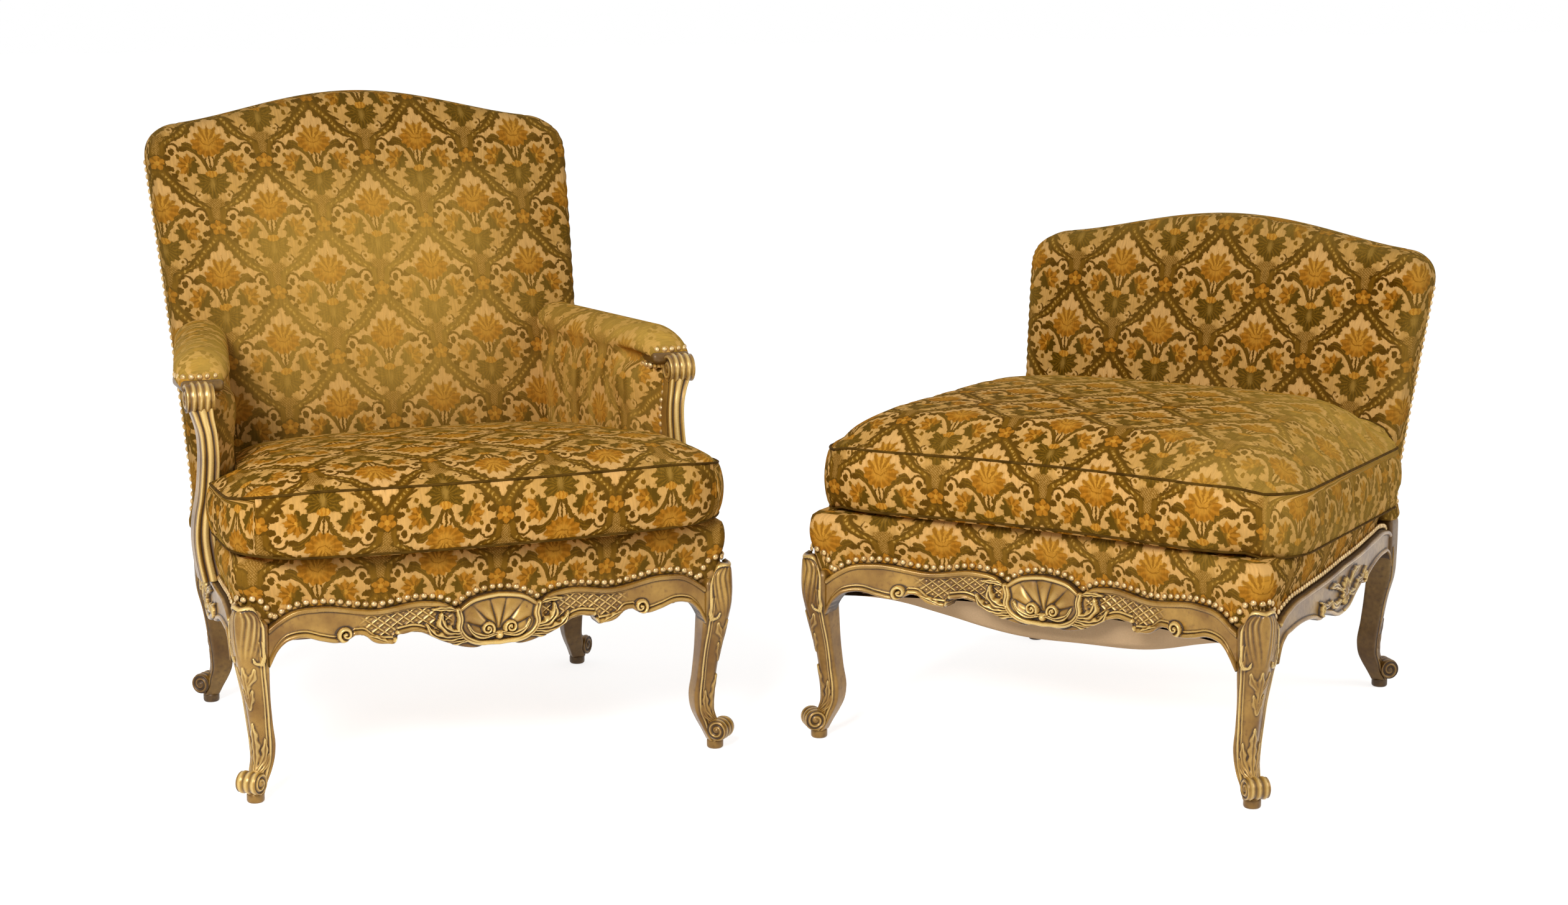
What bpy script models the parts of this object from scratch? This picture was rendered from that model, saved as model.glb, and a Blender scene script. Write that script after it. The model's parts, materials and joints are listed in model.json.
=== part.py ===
# Duchesse brisee: a closed-arm bergere and the long low-backed stool that completes it.
# Metres, +Z up. Each unit is modelled facing -Y in its own frame and stands on an empty.
# Left means the -X side of a unit, which is the viewer's left when looking at its front.

import math

import bmesh
import bpy
from mathutils import Matrix, Vector

# Feet: centres of the pads on the floor.
FRONT_FOOT_SPAN = 0.744
REAR_FOOT_SPAN = 0.658
CHAIR_FOOT_DEPTH = 0.584
STOOL_FOOT_DEPTH = 0.758

# Cabriole legs.
PAD_RADIUS = 0.0145
PAD_HEIGHT = 0.016
TOE_RADIUS = 0.0195
TOE_WIDTH = 0.040
TOE_SET_OUT = 0.010
TOE_EYE_RADIUS = 0.009
TOE_EYE_PROUD = 0.003
KNEE_HEIGHT = 0.240
FRONT_BLOCK = 0.061
REAR_BLOCK = 0.050
BLOCK_SET_IN = 0.005
# One row per section going up: share of the knee height, offset along the outward diagonal, section side.
LEG_SECTIONS = [
    (0.058, 0.0, 0.024),
    (0.125, -0.0095, 0.024),
    (0.19, -0.016, 0.029),
    (0.25, -0.022, 0.031),
    (0.34, -0.024, 0.034),
    (0.50, -0.019, 0.037),
    (0.68, -0.012, 0.042),
    (0.84, -0.008, 0.050),
]

# Seat rails.
RAIL_TOP = 0.304
RAIL_REBATE_DROP = 0.032
RAIL_THICKNESS = 0.032
RAIL_LIP = 0.014
RAIL_SET_BACK = 0.004
RAIL_BEAD = 0.004
SHELL_PROUD = 0.012
REAR_RAIL_HEIGHT = 0.037
CHAIR_BOW = 0.0255
STOOL_BOW = -0.078
SIDE_BOW = 0.008
BRACE_REACH = 0.056
BRACE_WIDTH = 0.030
BRACE_HEIGHT = 0.026

# Backs: heights of the crest, half widths at the foot and the shoulder, place and rake of the front face.
CHAIR_CREST = 1.020
CHAIR_SHOULDER_DROP = 0.050
CHAIR_BACK_HALF_BOTTOM = 0.335
CHAIR_BACK_HALF_TOP = 0.371
CHAIR_BACK_SET_IN = 0.030
CHAIR_BACK_RAKE = 0.213
STOOL_CREST = 0.801
STOOL_SHOULDER_DROP = 0.046
STOOL_BACK_HALF_BOTTOM = 0.335
STOOL_BACK_HALF_TOP = 0.372
STOOL_BACK_SET_IN = 0.061
STOOL_BACK_RAKE = 0.117
BACK_CURVE = 1.33
BACK_CORNER = 0.060
BACK_PAD_DEPTH = 0.040
BACK_PAD_CROWN = 0.024
BACK_PAD_ROUND = 0.014
BACK_FRAME_DEPTH = 0.034
BACK_COVER = 0.005
STILE_WIDTH = 0.044
CREST_RAIL_HEIGHT = 0.060
STAY_RAIL_HEIGHT = 0.050
COVER_OVERHANG = 0.006

# Arms of the bergere.
ARM_TOP = 0.642
ARM_PAD_HEIGHT = 0.046
ARM_PAD_WIDTH = 0.078
ARM_RAIL_HEIGHT = 0.024
ARM_RAIL_WIDTH = 0.024
ARM_SUPPORT_BEHIND_FOOT = 0.222
ARM_SUPPORT_X = 0.371
ARM_SUPPORT_WIDTH = 0.034
ARM_SUPPORT_DEPTH = 0.036
ARM_SCROLL_RADIUS = 0.025
ARM_SCROLL_WIDTH = 0.050
ARM_FLARE = 0.014
ARM_LINING = 0.018
ARM_PANEL = 0.005

# Seats.
WEBBING = 0.002
DECK_TOP = 0.3765
DECK_ROUND = 0.014
DECK_SWELL = 0.007
CUSHION_HEIGHT = 0.107
CHAIR_CUSHION_CROWN = 0.048
STOOL_CUSHION_CROWN = 0.056
CUSHION_PULL = 0.006
CUSHION_EAR_HALF = 0.392
CHAIR_CUSHION_FRONT = 0.052
CHAIR_CUSHION_BOW = 0.034
STOOL_CUSHION_FRONT_HALF = 0.400
STOOL_CUSHION_REAR_HALF = 0.360
STOOL_CUSHION_FRONT = 0.026
STOOL_CUSHION_BOW = -0.050
UNDERCLOTH = 0.002
CHAIR_UNDERCLOTH_SAG = 0.006
STOOL_UNDERCLOTH_SAG = 0.100

# Where the stool stands beside the bergere, and the slack left between toes when the two are pushed together.
STOOL_X = 1.078
STOOL_Y = -0.364
STOOL_TURN = math.radians(-52.18)
MEETING_GAP = 0.015

# Clearances.
GAP = 0.0003
LAYER_GAP = 0.0006
CUSHION_GAP = 0.0004
ARM_CLEAR = 0.004

# Outlines of the carved front rail: share of the half length, drop below the rail top. Each list ends in a cusp.
APRON_TOP = [
    [(0.0, 0.0), (0.06, 0.002), (0.13, 0.008), (0.19, 0.022)],
    [(0.19, 0.022), (0.25, 0.011), (0.33, 0.006), (0.56, 0.013), (0.82, 0.003), (0.93, 0.008), (1.0, 0.022)],
]
APRON_BOTTOM = [
    [(0.0, 0.084), (0.055, 0.082), (0.10, 0.086), (0.155, 0.084), (0.255, 0.071), (0.39, 0.052), (0.463, 0.055)],
    [(0.463, 0.055), (0.485, 0.069)],
    [(0.485, 0.069), (0.58, 0.062), (0.61, 0.053), (0.657, 0.051)],
    [(0.657, 0.051), (0.685, 0.057), (0.73, 0.061), (0.80, 0.057), (0.88, 0.0495), (0.94, 0.051), (1.0, 0.061)],
]
APRON_STATIONS = [
    0.0, 0.055, 0.10, 0.155, 0.19, 0.25, 0.29, 0.33, 0.39, 0.43, 0.463, 0.485, 0.53, 0.58, 0.61, 0.657,
    0.685, 0.71, 0.74, 0.80, 0.84, 0.88, 0.94, 1.0,
]
# Outlines of the side rails, in the same terms.
SIDE_TOP = [[(0.0, 0.004), (0.30, 0.0055), (0.62, 0.005), (0.86, 0.008), (1.0, 0.022)]]
SIDE_BOTTOM = [
    [(0.0, 0.086), (0.10, 0.083), (0.22, 0.070), (0.34, 0.060)],
    [(0.34, 0.060), (0.40, 0.066), (0.48, 0.058), (0.62, 0.050), (0.84, 0.049), (1.0, 0.061)],
]
SIDE_STATIONS = [0.0, 0.10, 0.22, 0.34, 0.40, 0.48, 0.62, 0.74, 0.86, 0.94, 1.0]
RAIL_LEVELS = [0.0, 0.13, 0.22, 0.42, 0.62, 0.79, 0.88, 1.0]

# Webbing straps: edges of the straps as shares of the half width and of the depth.
STRAP_LINES_X = [-1.0, -0.78, -0.52, -0.35, -0.09, 0.09, 0.35, 0.52, 0.78, 1.0]
STRAP_LINES_Y = [0.0, 0.14, 0.26, 0.44, 0.56, 0.74, 0.86, 1.0]

GILT = (0.62, 0.41, 0.16)
BARE_WOOD = (0.42, 0.27, 0.14)
VELVET = (0.36, 0.24, 0.10)
LINEN = (0.62, 0.54, 0.42)

RAIL_REBATE = RAIL_TOP - RAIL_REBATE_DROP
STILE_ROOT = RAIL_TOP + 0.002


def clear_scene():
    for obj in list(bpy.data.objects):
        bpy.data.objects.remove(obj, do_unlink=True)


def principled(name, colour, roughness, metallic):
    material = bpy.data.materials.new(name)
    material.use_nodes = True
    shader = material.node_tree.nodes["Principled BSDF"]
    shader.inputs["Base Color"].default_value = (*colour, 1.0)
    shader.inputs["Roughness"].default_value = roughness
    shader.inputs["Metallic"].default_value = metallic
    return material


def add_empty(name, parent, location, turn=0.0):
    empty = bpy.data.objects.new(name, None)
    bpy.context.scene.collection.objects.link(empty)
    empty.parent = parent
    empty.location = location
    empty.rotation_euler = (0.0, 0.0, turn)
    return empty


def add_node(name, verts, faces, parent, colour, roughness=0.4, metallic=0.0):
    mesh = bpy.data.meshes.new(name)
    mesh.from_pydata([tuple(v) for v in verts], [], faces)
    bm = bmesh.new()
    bm.from_mesh(mesh)
    bmesh.ops.recalc_face_normals(bm, faces=bm.faces)
    for face in bm.faces:
        face.smooth = True
    for edge in bm.edges:
        edge.smooth = edge.calc_face_angle(0.0) < math.radians(38.0)
    bm.to_mesh(mesh)
    bm.free()
    mesh.materials.append(principled(name, colour, roughness, metallic))
    obj = bpy.data.objects.new(name, mesh)
    bpy.context.scene.collection.objects.link(obj)
    obj.parent = parent
    return obj


def loft(rings):
    # Joins rings of equal count with quads and closes both ends.
    count = len(rings[0])
    verts = [point for ring in rings for point in ring]
    faces = []
    for row in range(len(rings) - 1):
        low = row * count
        high = low + count
        for i in range(count):
            j = (i + 1) % count
            faces.append((low + i, low + j, high + j, high + i))
    last = (len(rings) - 1) * count
    faces.append(tuple(range(count)))
    faces.append(tuple(range(last, last + count)))
    return verts, faces


def slab(front_rows, rear_rows):
    # Closed shell between two grids of points of the same size.
    rows = len(front_rows)
    columns = len(front_rows[0])
    verts = [point for row in front_rows for point in row] + [point for row in rear_rows for point in row]
    behind = rows * columns
    faces = []
    for j in range(rows - 1):
        for i in range(columns - 1):
            a = j * columns + i
            cell = (a, a + 1, a + columns + 1, a + columns)
            faces.append(cell)
            faces.append(tuple(behind + k for k in reversed(cell)))
    rim = list(range(columns))
    rim += [j * columns + columns - 1 for j in range(1, rows)]
    rim += [(rows - 1) * columns + i for i in range(columns - 2, -1, -1)]
    rim += [j * columns for j in range(rows - 2, 0, -1)]
    for k, a in enumerate(rim):
        b = rim[(k + 1) % len(rim)]
        faces.append((b, a, behind + a, behind + b))
    return verts, faces


def prism(outline, bottom, top):
    return loft([[(x, y, bottom) for x, y in outline], [(x, y, top) for x, y in outline]])


def smooth_curve(points, x):
    # Value at x of a cubic curve through the points.
    slopes = []
    for i in range(len(points)):
        a = points[max(i - 1, 0)]
        b = points[min(i + 1, len(points) - 1)]
        slopes.append((b[1] - a[1]) / (b[0] - a[0]))
    for i in range(len(points) - 1):
        (x0, y0), (x1, y1) = points[i], points[i + 1]
        if x <= x1 or i == len(points) - 2:
            step = x1 - x0
            t = min(max((x - x0) / step, 0.0), 1.0)
            return (
                y0 * (1 + 2 * t) * (1 - t) ** 2
                + slopes[i] * step * t * (1 - t) ** 2
                + y1 * t * t * (3 - 2 * t)
                + slopes[i + 1] * step * t * t * (t - 1)
            )


def outline_drop(pieces, share):
    for piece in pieces:
        if share <= piece[-1][0]:
            return smooth_curve(piece, share)
    return smooth_curve(pieces[-1], share)


def rounded_rect(cx, cy, half_x, half_y, corner):
    # Twelve points of a rectangle with rounded corners, counter-clockwise.
    points = []
    for quarter in range(4):
        sx = (1, -1, -1, 1)[quarter]
        sy = (1, 1, -1, -1)[quarter]
        for step in range(3):
            angle = math.radians(90 * quarter + 45 * step)
            points.append(
                (
                    cx + sx * (half_x - corner) + corner * math.cos(angle),
                    cy + sy * (half_y - corner) + corner * math.sin(angle),
                )
            )
    return points


def rounded_outline(corners, longest=0.09):
    # Corners are (x, y, radius). Returns the outline with arcs of four segments and long sides divided.
    points = []
    count = len(corners)
    for i in range(count):
        here = Vector(corners[i][:2])
        to_last = (Vector(corners[i - 1][:2]) - here).normalized()
        to_next = (Vector(corners[(i + 1) % count][:2]) - here).normalized()
        half = to_last.angle(to_next) / 2
        reach = corners[i][2] / math.tan(half)
        start = here + to_last * reach
        end = here + to_next * reach
        for step in range(5):
            t = step / 4
            points.append(start * (1 - t) ** 2 + here * 2 * t * (1 - t) + end * t * t)
    divided = []
    for i, point in enumerate(points):
        after = points[(i + 1) % len(points)]
        pieces = max(1, math.ceil((after - point).length / longest))
        for k in range(pieces):
            divided.append(point.lerp(after, k / pieces))
    return divided


def join_by_boolean(obj, cutters, operation):
    # Applies each cutter in turn and removes it.
    for cutter in cutters:
        modifier = obj.modifiers.new("join", "BOOLEAN")
        modifier.operation = operation
        modifier.solver = "EXACT"
        modifier.object = cutter
    bpy.context.view_layer.update()
    evaluated = obj.evaluated_get(bpy.context.evaluated_depsgraph_get())
    mesh = bpy.data.meshes.new_from_object(evaluated)
    obj.modifiers.clear()
    obj.data = mesh
    for cutter in cutters:
        bpy.data.objects.remove(cutter, do_unlink=True)


def add_round(name, parent, radius, length, soften, axis_turn, centre, sides):
    # A cylinder used as a boolean tool, its rims eased by soften. axis_turn takes +Z to its axis.
    sections = [(-length / 2, radius - soften), (length / 2, radius - soften)]
    if soften:
        sections[1:1] = [(-length / 2 + soften, radius), (length / 2 - soften, radius)]
    rings = []
    for along, size in sections:
        ring = []
        for i in range(sides):
            angle = 2 * math.pi * i / sides
            point = Vector((size * math.cos(angle), size * math.sin(angle), along))
            ring.append(axis_turn @ point + Vector(centre))
        rings.append(ring)
    return add_node(name, *loft(rings), parent, GILT)


class Unit:
    # One seat: its frame sizes and the lines that its pieces share.

    def __init__(self, name, empty, foot_depth, bow, crest, shoulder_drop, half_bottom, half_top, set_in, rake):
        self.name = name
        self.empty = empty
        self.front = -foot_depth / 2
        self.rear = foot_depth / 2
        self.bow = bow
        self.crest = crest
        self.shoulder = crest - shoulder_drop
        self.half_bottom = half_bottom
        self.half_top = half_top
        self.back_root = self.rear - set_in
        self.rake = rake
        self.front_outer = FRONT_FOOT_SPAN / 2 + FRONT_BLOCK / 2 - BLOCK_SET_IN
        self.rear_outer = REAR_FOOT_SPAN / 2 + REAR_BLOCK / 2 - BLOCK_SET_IN
        self.front_inner = self.front_outer - FRONT_BLOCK
        self.rear_inner = self.rear_outer - REAR_BLOCK
        self.block_back = self.front + FRONT_BLOCK / 2 + BLOCK_SET_IN
        self.post_front = self.rear - REAR_BLOCK / 2 - BLOCK_SET_IN

    def node(self, piece):
        return f"{self.name}_{piece}"

    def front_face(self, x):
        # Plain front face of the front rail, bowed between the leg blocks.
        share = min(abs(x) / self.front_inner, 1.0)
        end = self.front - FRONT_BLOCK / 2 + BLOCK_SET_IN + RAIL_SET_BACK
        return end - self.bow * (1 - share * share)

    def side_face(self, y):
        # Plain outer face of a side rail, as a half width.
        share = (y - self.block_back) / (self.post_front - self.block_back)
        inside = min(max(share, 0.0), 1.0)
        straight = self.front_outer + (self.rear_outer - self.front_outer) * max(share, 0.0) - RAIL_SET_BACK
        return straight + SIDE_BOW * 4 * inside * (1 - inside)

    def back_face(self, z):
        # Front face of the back at its edges, curving backwards as it rises.
        share = max((z - RAIL_TOP) / (self.crest - RAIL_TOP), 0.0)
        return self.back_root + self.rake * share**BACK_CURVE

    def back_half(self, z):
        share = min(max((z - RAIL_TOP) / (self.shoulder - RAIL_TOP), 0.0), 1.0)
        return self.half_bottom + (self.half_top - self.half_bottom) * share

    def back_top(self, x):
        # Height of the crest at x: a low hump in the middle, shoulders, then rounded corners.
        share = min(abs(x) / self.half_top, 1.0)
        hump = 0.5 + 0.5 * math.cos(math.pi * min(share / 0.88, 1.0))
        height = self.shoulder + (self.crest - self.shoulder) * hump**0.75
        corner_start = 1 - BACK_CORNER / self.half_top
        if share > corner_start:
            t = (share - corner_start) / (1 - corner_start)
            height -= BACK_CORNER * (1 - math.sqrt(max(1 - t * t, 0.0)))
        return height


def leg_rings(foot_x, foot_y, out_x, out_y):
    # Sections of a cabriole leg from the pad to the knee, leaning along its outward diagonal.
    rings = []
    for share, offset, side in LEG_SECTIONS:
        cx = foot_x + out_x * offset / math.sqrt(2)
        cy = foot_y + out_y * offset / math.sqrt(2)
        height = KNEE_HEIGHT * share
        rings.append([(x, y, height) for x, y in rounded_rect(cx, cy, side / 2, side / 2, side * 0.18)])
    return rings


def add_foot(leg, parent, foot_x, foot_y, out_x, out_y):
    # Joins the pad and the outward scroll to a leg.
    across = Vector((out_x, -out_y, 0.0)).normalized()
    turn = across.to_track_quat("Z", "Y").to_matrix()
    step = TOE_SET_OUT / math.sqrt(2)
    toe = (foot_x + out_x * step, foot_y + out_y * step, PAD_HEIGHT - 0.002 + TOE_RADIUS)
    pad = (foot_x, foot_y, PAD_HEIGHT / 2)
    tools = [
        add_round("tool_pad", parent, PAD_RADIUS, PAD_HEIGHT, 0.0, Matrix.Identity(3), pad, 14),
        add_round("tool_toe", parent, TOE_RADIUS, TOE_WIDTH, 0.003, turn, toe, 14),
        add_round("tool_eye", parent, TOE_EYE_RADIUS, TOE_WIDTH + 2 * TOE_EYE_PROUD, 0.0, turn, toe, 8),
    ]
    join_by_boolean(leg, tools, "UNION")


def add_front_leg(unit, side, word):
    foot_x = side * FRONT_FOOT_SPAN / 2
    rings = leg_rings(foot_x, unit.front, side, -1)
    cx = foot_x - side * BLOCK_SET_IN
    cy = unit.front + BLOCK_SET_IN
    half = FRONT_BLOCK / 2
    block = rounded_rect(cx, cy, half, half, 0.004)
    shoulder = APRON_TOP[-1][-1][1]
    rings.append([(x, y, KNEE_HEIGHT) for x, y in block])
    rings.append([(x, y, RAIL_REBATE) for x, y in block])
    crown = []
    for x, y in rounded_rect(cx, cy, half - 0.003, half - 0.003, 0.006):
        inward = max((cx - x) * side + half, y - cy + half) / FRONT_BLOCK
        crown.append((x, y, RAIL_TOP + 0.002 - shoulder * inward**2))
    rings.append(crown)
    leg = add_node(unit.node(f"front_leg_{word}"), *loft(rings), unit.empty, GILT, 0.32, 0.85)
    add_foot(leg, unit.empty, foot_x, unit.front, side, -1)
    lip = RAIL_LIP + RAIL_SET_BACK
    edge_x = side * (unit.front_outer - lip)
    edge_y = unit.front - half + BLOCK_SET_IN + lip
    xs = sorted((edge_x, edge_x - side * FRONT_BLOCK))
    corner = [(xs[0], edge_y), (xs[1], edge_y), (xs[1], edge_y + FRONT_BLOCK), (xs[0], edge_y + FRONT_BLOCK)]
    notch = add_node("tool_notch", *prism(corner, RAIL_REBATE, RAIL_TOP + 0.05), unit.empty, GILT)
    join_by_boolean(leg, [notch], "DIFFERENCE")


def add_rear_post(unit, side, word):
    foot_x = side * REAR_FOOT_SPAN / 2
    rings = leg_rings(foot_x, unit.rear, side, 1)
    cx = foot_x - side * BLOCK_SET_IN
    cy = unit.rear - BLOCK_SET_IN
    half = REAR_BLOCK / 2
    for height in (KNEE_HEIGHT, RAIL_REBATE):
        rings.append([(x, y, height) for x, y in rounded_rect(cx, cy, half, half, 0.004)])
    top = unit.shoulder - CREST_RAIL_HEIGHT
    steps = 7
    for step in range(steps + 1):
        height = STILE_ROOT + (top - STILE_ROOT) * step / steps
        middle_x = side * (unit.back_half(height) - COVER_OVERHANG - STILE_WIDTH / 2)
        middle_y = unit.back_face(height) + BACK_PAD_DEPTH + LAYER_GAP + BACK_FRAME_DEPTH / 2
        ring = rounded_rect(middle_x, middle_y, STILE_WIDTH / 2, BACK_FRAME_DEPTH / 2, 0.003)
        rings.append([(x, y, height) for x, y in ring])
    post = add_node(unit.node(f"rear_post_{word}"), *loft(rings), unit.empty, GILT, 0.32, 0.85)
    add_foot(post, unit.empty, foot_x, unit.rear, side, 1)


def front_relief(share, level):
    # Raised edge beads, a ribbed shell in the middle, a leaf beside it and a scroll eye near the leg.
    edge = RAIL_BEAD if level < 0.15 or level > 0.85 else 0.0
    if share < 0.19:
        dome = (1 - (share / 0.2) ** 2) * math.sin(math.pi * (0.12 + 0.76 * level)) ** 0.6
        angle = math.atan2(share * 2.4, level + 0.15)
        return edge * 0.5 + SHELL_PROUD * dome * (0.82 + 0.18 * math.cos(9 * angle))
    if share < 0.40:
        return edge + 0.5 * SHELL_PROUD * math.sin(math.pi * (share - 0.19) / 0.21) * (1 - level) ** 0.5
    eye = math.hypot((share - 0.70) / 0.045, (level - 0.24) / 0.34)
    return edge + 0.6 * SHELL_PROUD * max(1 - eye * eye, 0.0)


def side_relief(share, level):
    edge = RAIL_BEAD if level < 0.15 or level > 0.85 else 0.0
    if share < 0.34:
        return edge + 0.7 * SHELL_PROUD * math.cos(math.pi * share / 0.68) * math.sin(math.pi * level) ** 0.6
    return edge


def add_carved_rail(name, unit, stations, half, top, bottom, relief, place):
    # place(along, out, height) gives the point for a station along the rail.
    rings = []
    for share in [-s for s in reversed(stations[1:])] + stations:
        high = RAIL_TOP - outline_drop(top, abs(share))
        low = RAIL_TOP - outline_drop(bottom, abs(share))
        profile = [(relief(abs(share), level), low + (high - low) * level) for level in RAIL_LEVELS]
        profile += [(-RAIL_LIP, high), (-RAIL_LIP, RAIL_REBATE), (-RAIL_THICKNESS, RAIL_REBATE)]
        profile += [(-RAIL_THICKNESS, low)]
        rings.append([place(share * half, out, height) for out, height in profile])
    add_node(name, *loft(rings), unit.empty, GILT, 0.32, 0.85)


def add_seat_rails(unit):
    half = unit.front_inner - GAP

    def on_front(along, out, height):
        return (along, unit.front_face(along) - out, height)

    add_carved_rail(
        unit.node("front_rail"), unit, APRON_STATIONS, half, APRON_TOP, APRON_BOTTOM, front_relief, on_front
    )
    middle = (unit.block_back + unit.post_front) / 2
    side_half = (unit.post_front - unit.block_back) / 2 - GAP
    for side, word in ((-1, "left"), (1, "right")):

        def on_side(along, out, height, side=side):
            return (side * (unit.side_face(middle + along) + out), middle + along, height)

        add_carved_rail(
            unit.node(f"side_rail_{word}"), unit, SIDE_STATIONS, side_half, SIDE_TOP, SIDE_BOTTOM, side_relief, on_side
        )
    rear_half = unit.rear_inner - GAP
    rear_mid = unit.rear - BLOCK_SET_IN
    rear_ends = [
        (-rear_half, rear_mid - RAIL_THICKNESS / 2),
        (rear_half, rear_mid - RAIL_THICKNESS / 2),
        (rear_half, rear_mid + RAIL_THICKNESS / 2),
        (-rear_half, rear_mid + RAIL_THICKNESS / 2),
    ]
    solid = prism(rear_ends, RAIL_REBATE - REAR_RAIL_HEIGHT, RAIL_REBATE)
    add_node(unit.node("rear_rail"), *solid, unit.empty, GILT, 0.4, 0.85)


def add_corner_braces(unit):
    # Diagonal blocks glued across the inside of the seat frame's corners.
    slack = 2 * GAP
    rear_face = unit.rear - BLOCK_SET_IN - RAIL_THICKNESS / 2
    for side, word in ((-1, "left"), (1, "right")):
        for end, sign in (("front", 1), ("rear", -1)):
            corner_y = unit.front_face(unit.front_inner) + RAIL_THICKNESS if sign > 0 else rear_face
            corner_x = unit.side_face(corner_y) - RAIL_THICKNESS
            outline = []
            for reach in (BRACE_REACH, BRACE_REACH + BRACE_WIDTH):
                y = corner_y + sign * reach
                outline.append((side * (unit.side_face(y) - RAIL_THICKNESS - slack), y))
            for reach in (BRACE_REACH + BRACE_WIDTH, BRACE_REACH):
                x = corner_x - reach
                y = unit.front_face(x) + RAIL_THICKNESS + slack if sign > 0 else rear_face - slack
                outline.append((side * x, y))
            top = RAIL_REBATE - 0.002
            solid = prism(outline, top - BRACE_HEIGHT, top)
            add_node(unit.node(f"{end}_brace_{word}"), *solid, unit.empty, BARE_WOOD, 0.7)


def add_webbing(unit):
    # Woven straps tacked on the rebates of the rails, as one flat lattice.
    ledge = RAIL_THICKNESS - 0.014
    rear = unit.rear - BLOCK_SET_IN
    centre_front = unit.front_face(0.0) + ledge
    grid = []
    for t in STRAP_LINES_Y:
        row = []
        for s in STRAP_LINES_X:
            y = centre_front + t * (rear - centre_front)
            x = s * (unit.side_face(y) - ledge)
            front = unit.front_face(x) + ledge
            row.append((x, front + t * (rear - front)))
        grid.append(row)
    columns = len(STRAP_LINES_X)
    bottom = RAIL_REBATE + GAP
    verts = [(x, y, bottom) for row in grid for x, y in row]
    faces = []
    for j in range(len(grid) - 1):
        for i in range(columns - 1):
            if i % 2 == 1 or j % 2 == 1:
                a = j * columns + i
                faces.append((a, a + 1, a + columns + 1, a + columns))
    mesh = bpy.data.meshes.new("straps")
    mesh.from_pydata(verts, [], faces)
    bm = bmesh.new()
    bm.from_mesh(mesh)
    bmesh.ops.delete(bm, geom=[v for v in bm.verts if not v.link_faces], context="VERTS")
    raised = bmesh.ops.extrude_face_region(bm, geom=bm.faces[:])["geom"]
    bmesh.ops.translate(
        bm, vec=(0.0, 0.0, WEBBING), verts=[g for g in raised if isinstance(g, bmesh.types.BMVert)]
    )
    bm.verts.index_update()
    points = [v.co.copy() for v in bm.verts]
    sides = [tuple(v.index for v in f.verts) for f in bm.faces]
    bm.free()
    add_node(unit.node("seat_webbing"), points, sides, unit.empty, LINEN, 0.9)


def deck_outline(unit, swell, swell_end):
    # Plan of the stuffed platform. It swells out above the rail as far back as swell_end.
    inset = RAIL_LIP + GAP - swell
    rear = unit.post_front - GAP
    steps = 12
    chord_slack = abs(unit.bow) / steps**2
    outline = []
    for step in range(steps + 1):
        x = unit.front_inner * (2 * step / steps - 1)
        outline.append((x, unit.front_face(x) + inset + chord_slack))
    corner_y = unit.front_face(unit.front_inner) + inset + 0.004
    right = [(unit.side_face(corner_y) - inset - 0.002, corner_y)]
    for step in range(4):
        y = unit.block_back + (swell_end - unit.block_back) * step / 3
        right.append((unit.side_face(y) - inset - 0.0002, y))
    for step in range(4):
        y = swell_end + 0.006 + (rear - swell_end - 0.006) * step / 3
        right.append((unit.side_face(y) - RAIL_LIP - GAP - 0.0002, y))
    outline += right
    outline += [(-x, y) for x, y in reversed(right)]
    return outline


def ring_at(outline, centre, inset, height):
    # The outline pulled towards the centre by a distance.
    ring = []
    for x, y in outline:
        offset = Vector((x - centre[0], y - centre[1]))
        keep = max(1 - inset / offset.length, 0.0)
        ring.append((centre[0] + offset.x * keep, centre[1] + offset.y * keep, height))
    return ring


def add_deck(unit, swell_end, notches):
    # Stuffed platform: it sits behind the rail lips, swells over them and is rounded at its top edge.
    inner = deck_outline(unit, 0.0, swell_end)
    outer = deck_outline(unit, DECK_SWELL, swell_end)
    middle = (0.0, 0.0)
    rings = [
        ring_at(inner, middle, 0.0, RAIL_REBATE + 2 * GAP + WEBBING),
        ring_at(inner, middle, 0.0, RAIL_TOP + 0.004),
        ring_at(outer, middle, 0.0, RAIL_TOP + 0.010),
        ring_at(outer, middle, 0.0, DECK_TOP - DECK_ROUND),
        ring_at(outer, middle, DECK_ROUND * 0.35, DECK_TOP - DECK_ROUND * 0.3),
        ring_at(outer, middle, DECK_ROUND * 1.2, DECK_TOP),
    ]
    deck = add_node(unit.node("seat_deck"), *loft(rings), unit.empty, VELVET, 0.8)
    for low_x, high_x, low_y, high_y in notches:
        corners = [(low_x, low_y), (high_x, low_y), (high_x, high_y), (low_x, high_y)]
        tool = add_node("tool_notch", *prism(corners, RAIL_REBATE - 0.01, DECK_TOP + 0.02), unit.empty, VELVET)
        join_by_boolean(deck, [tool], "DIFFERENCE")


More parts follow.
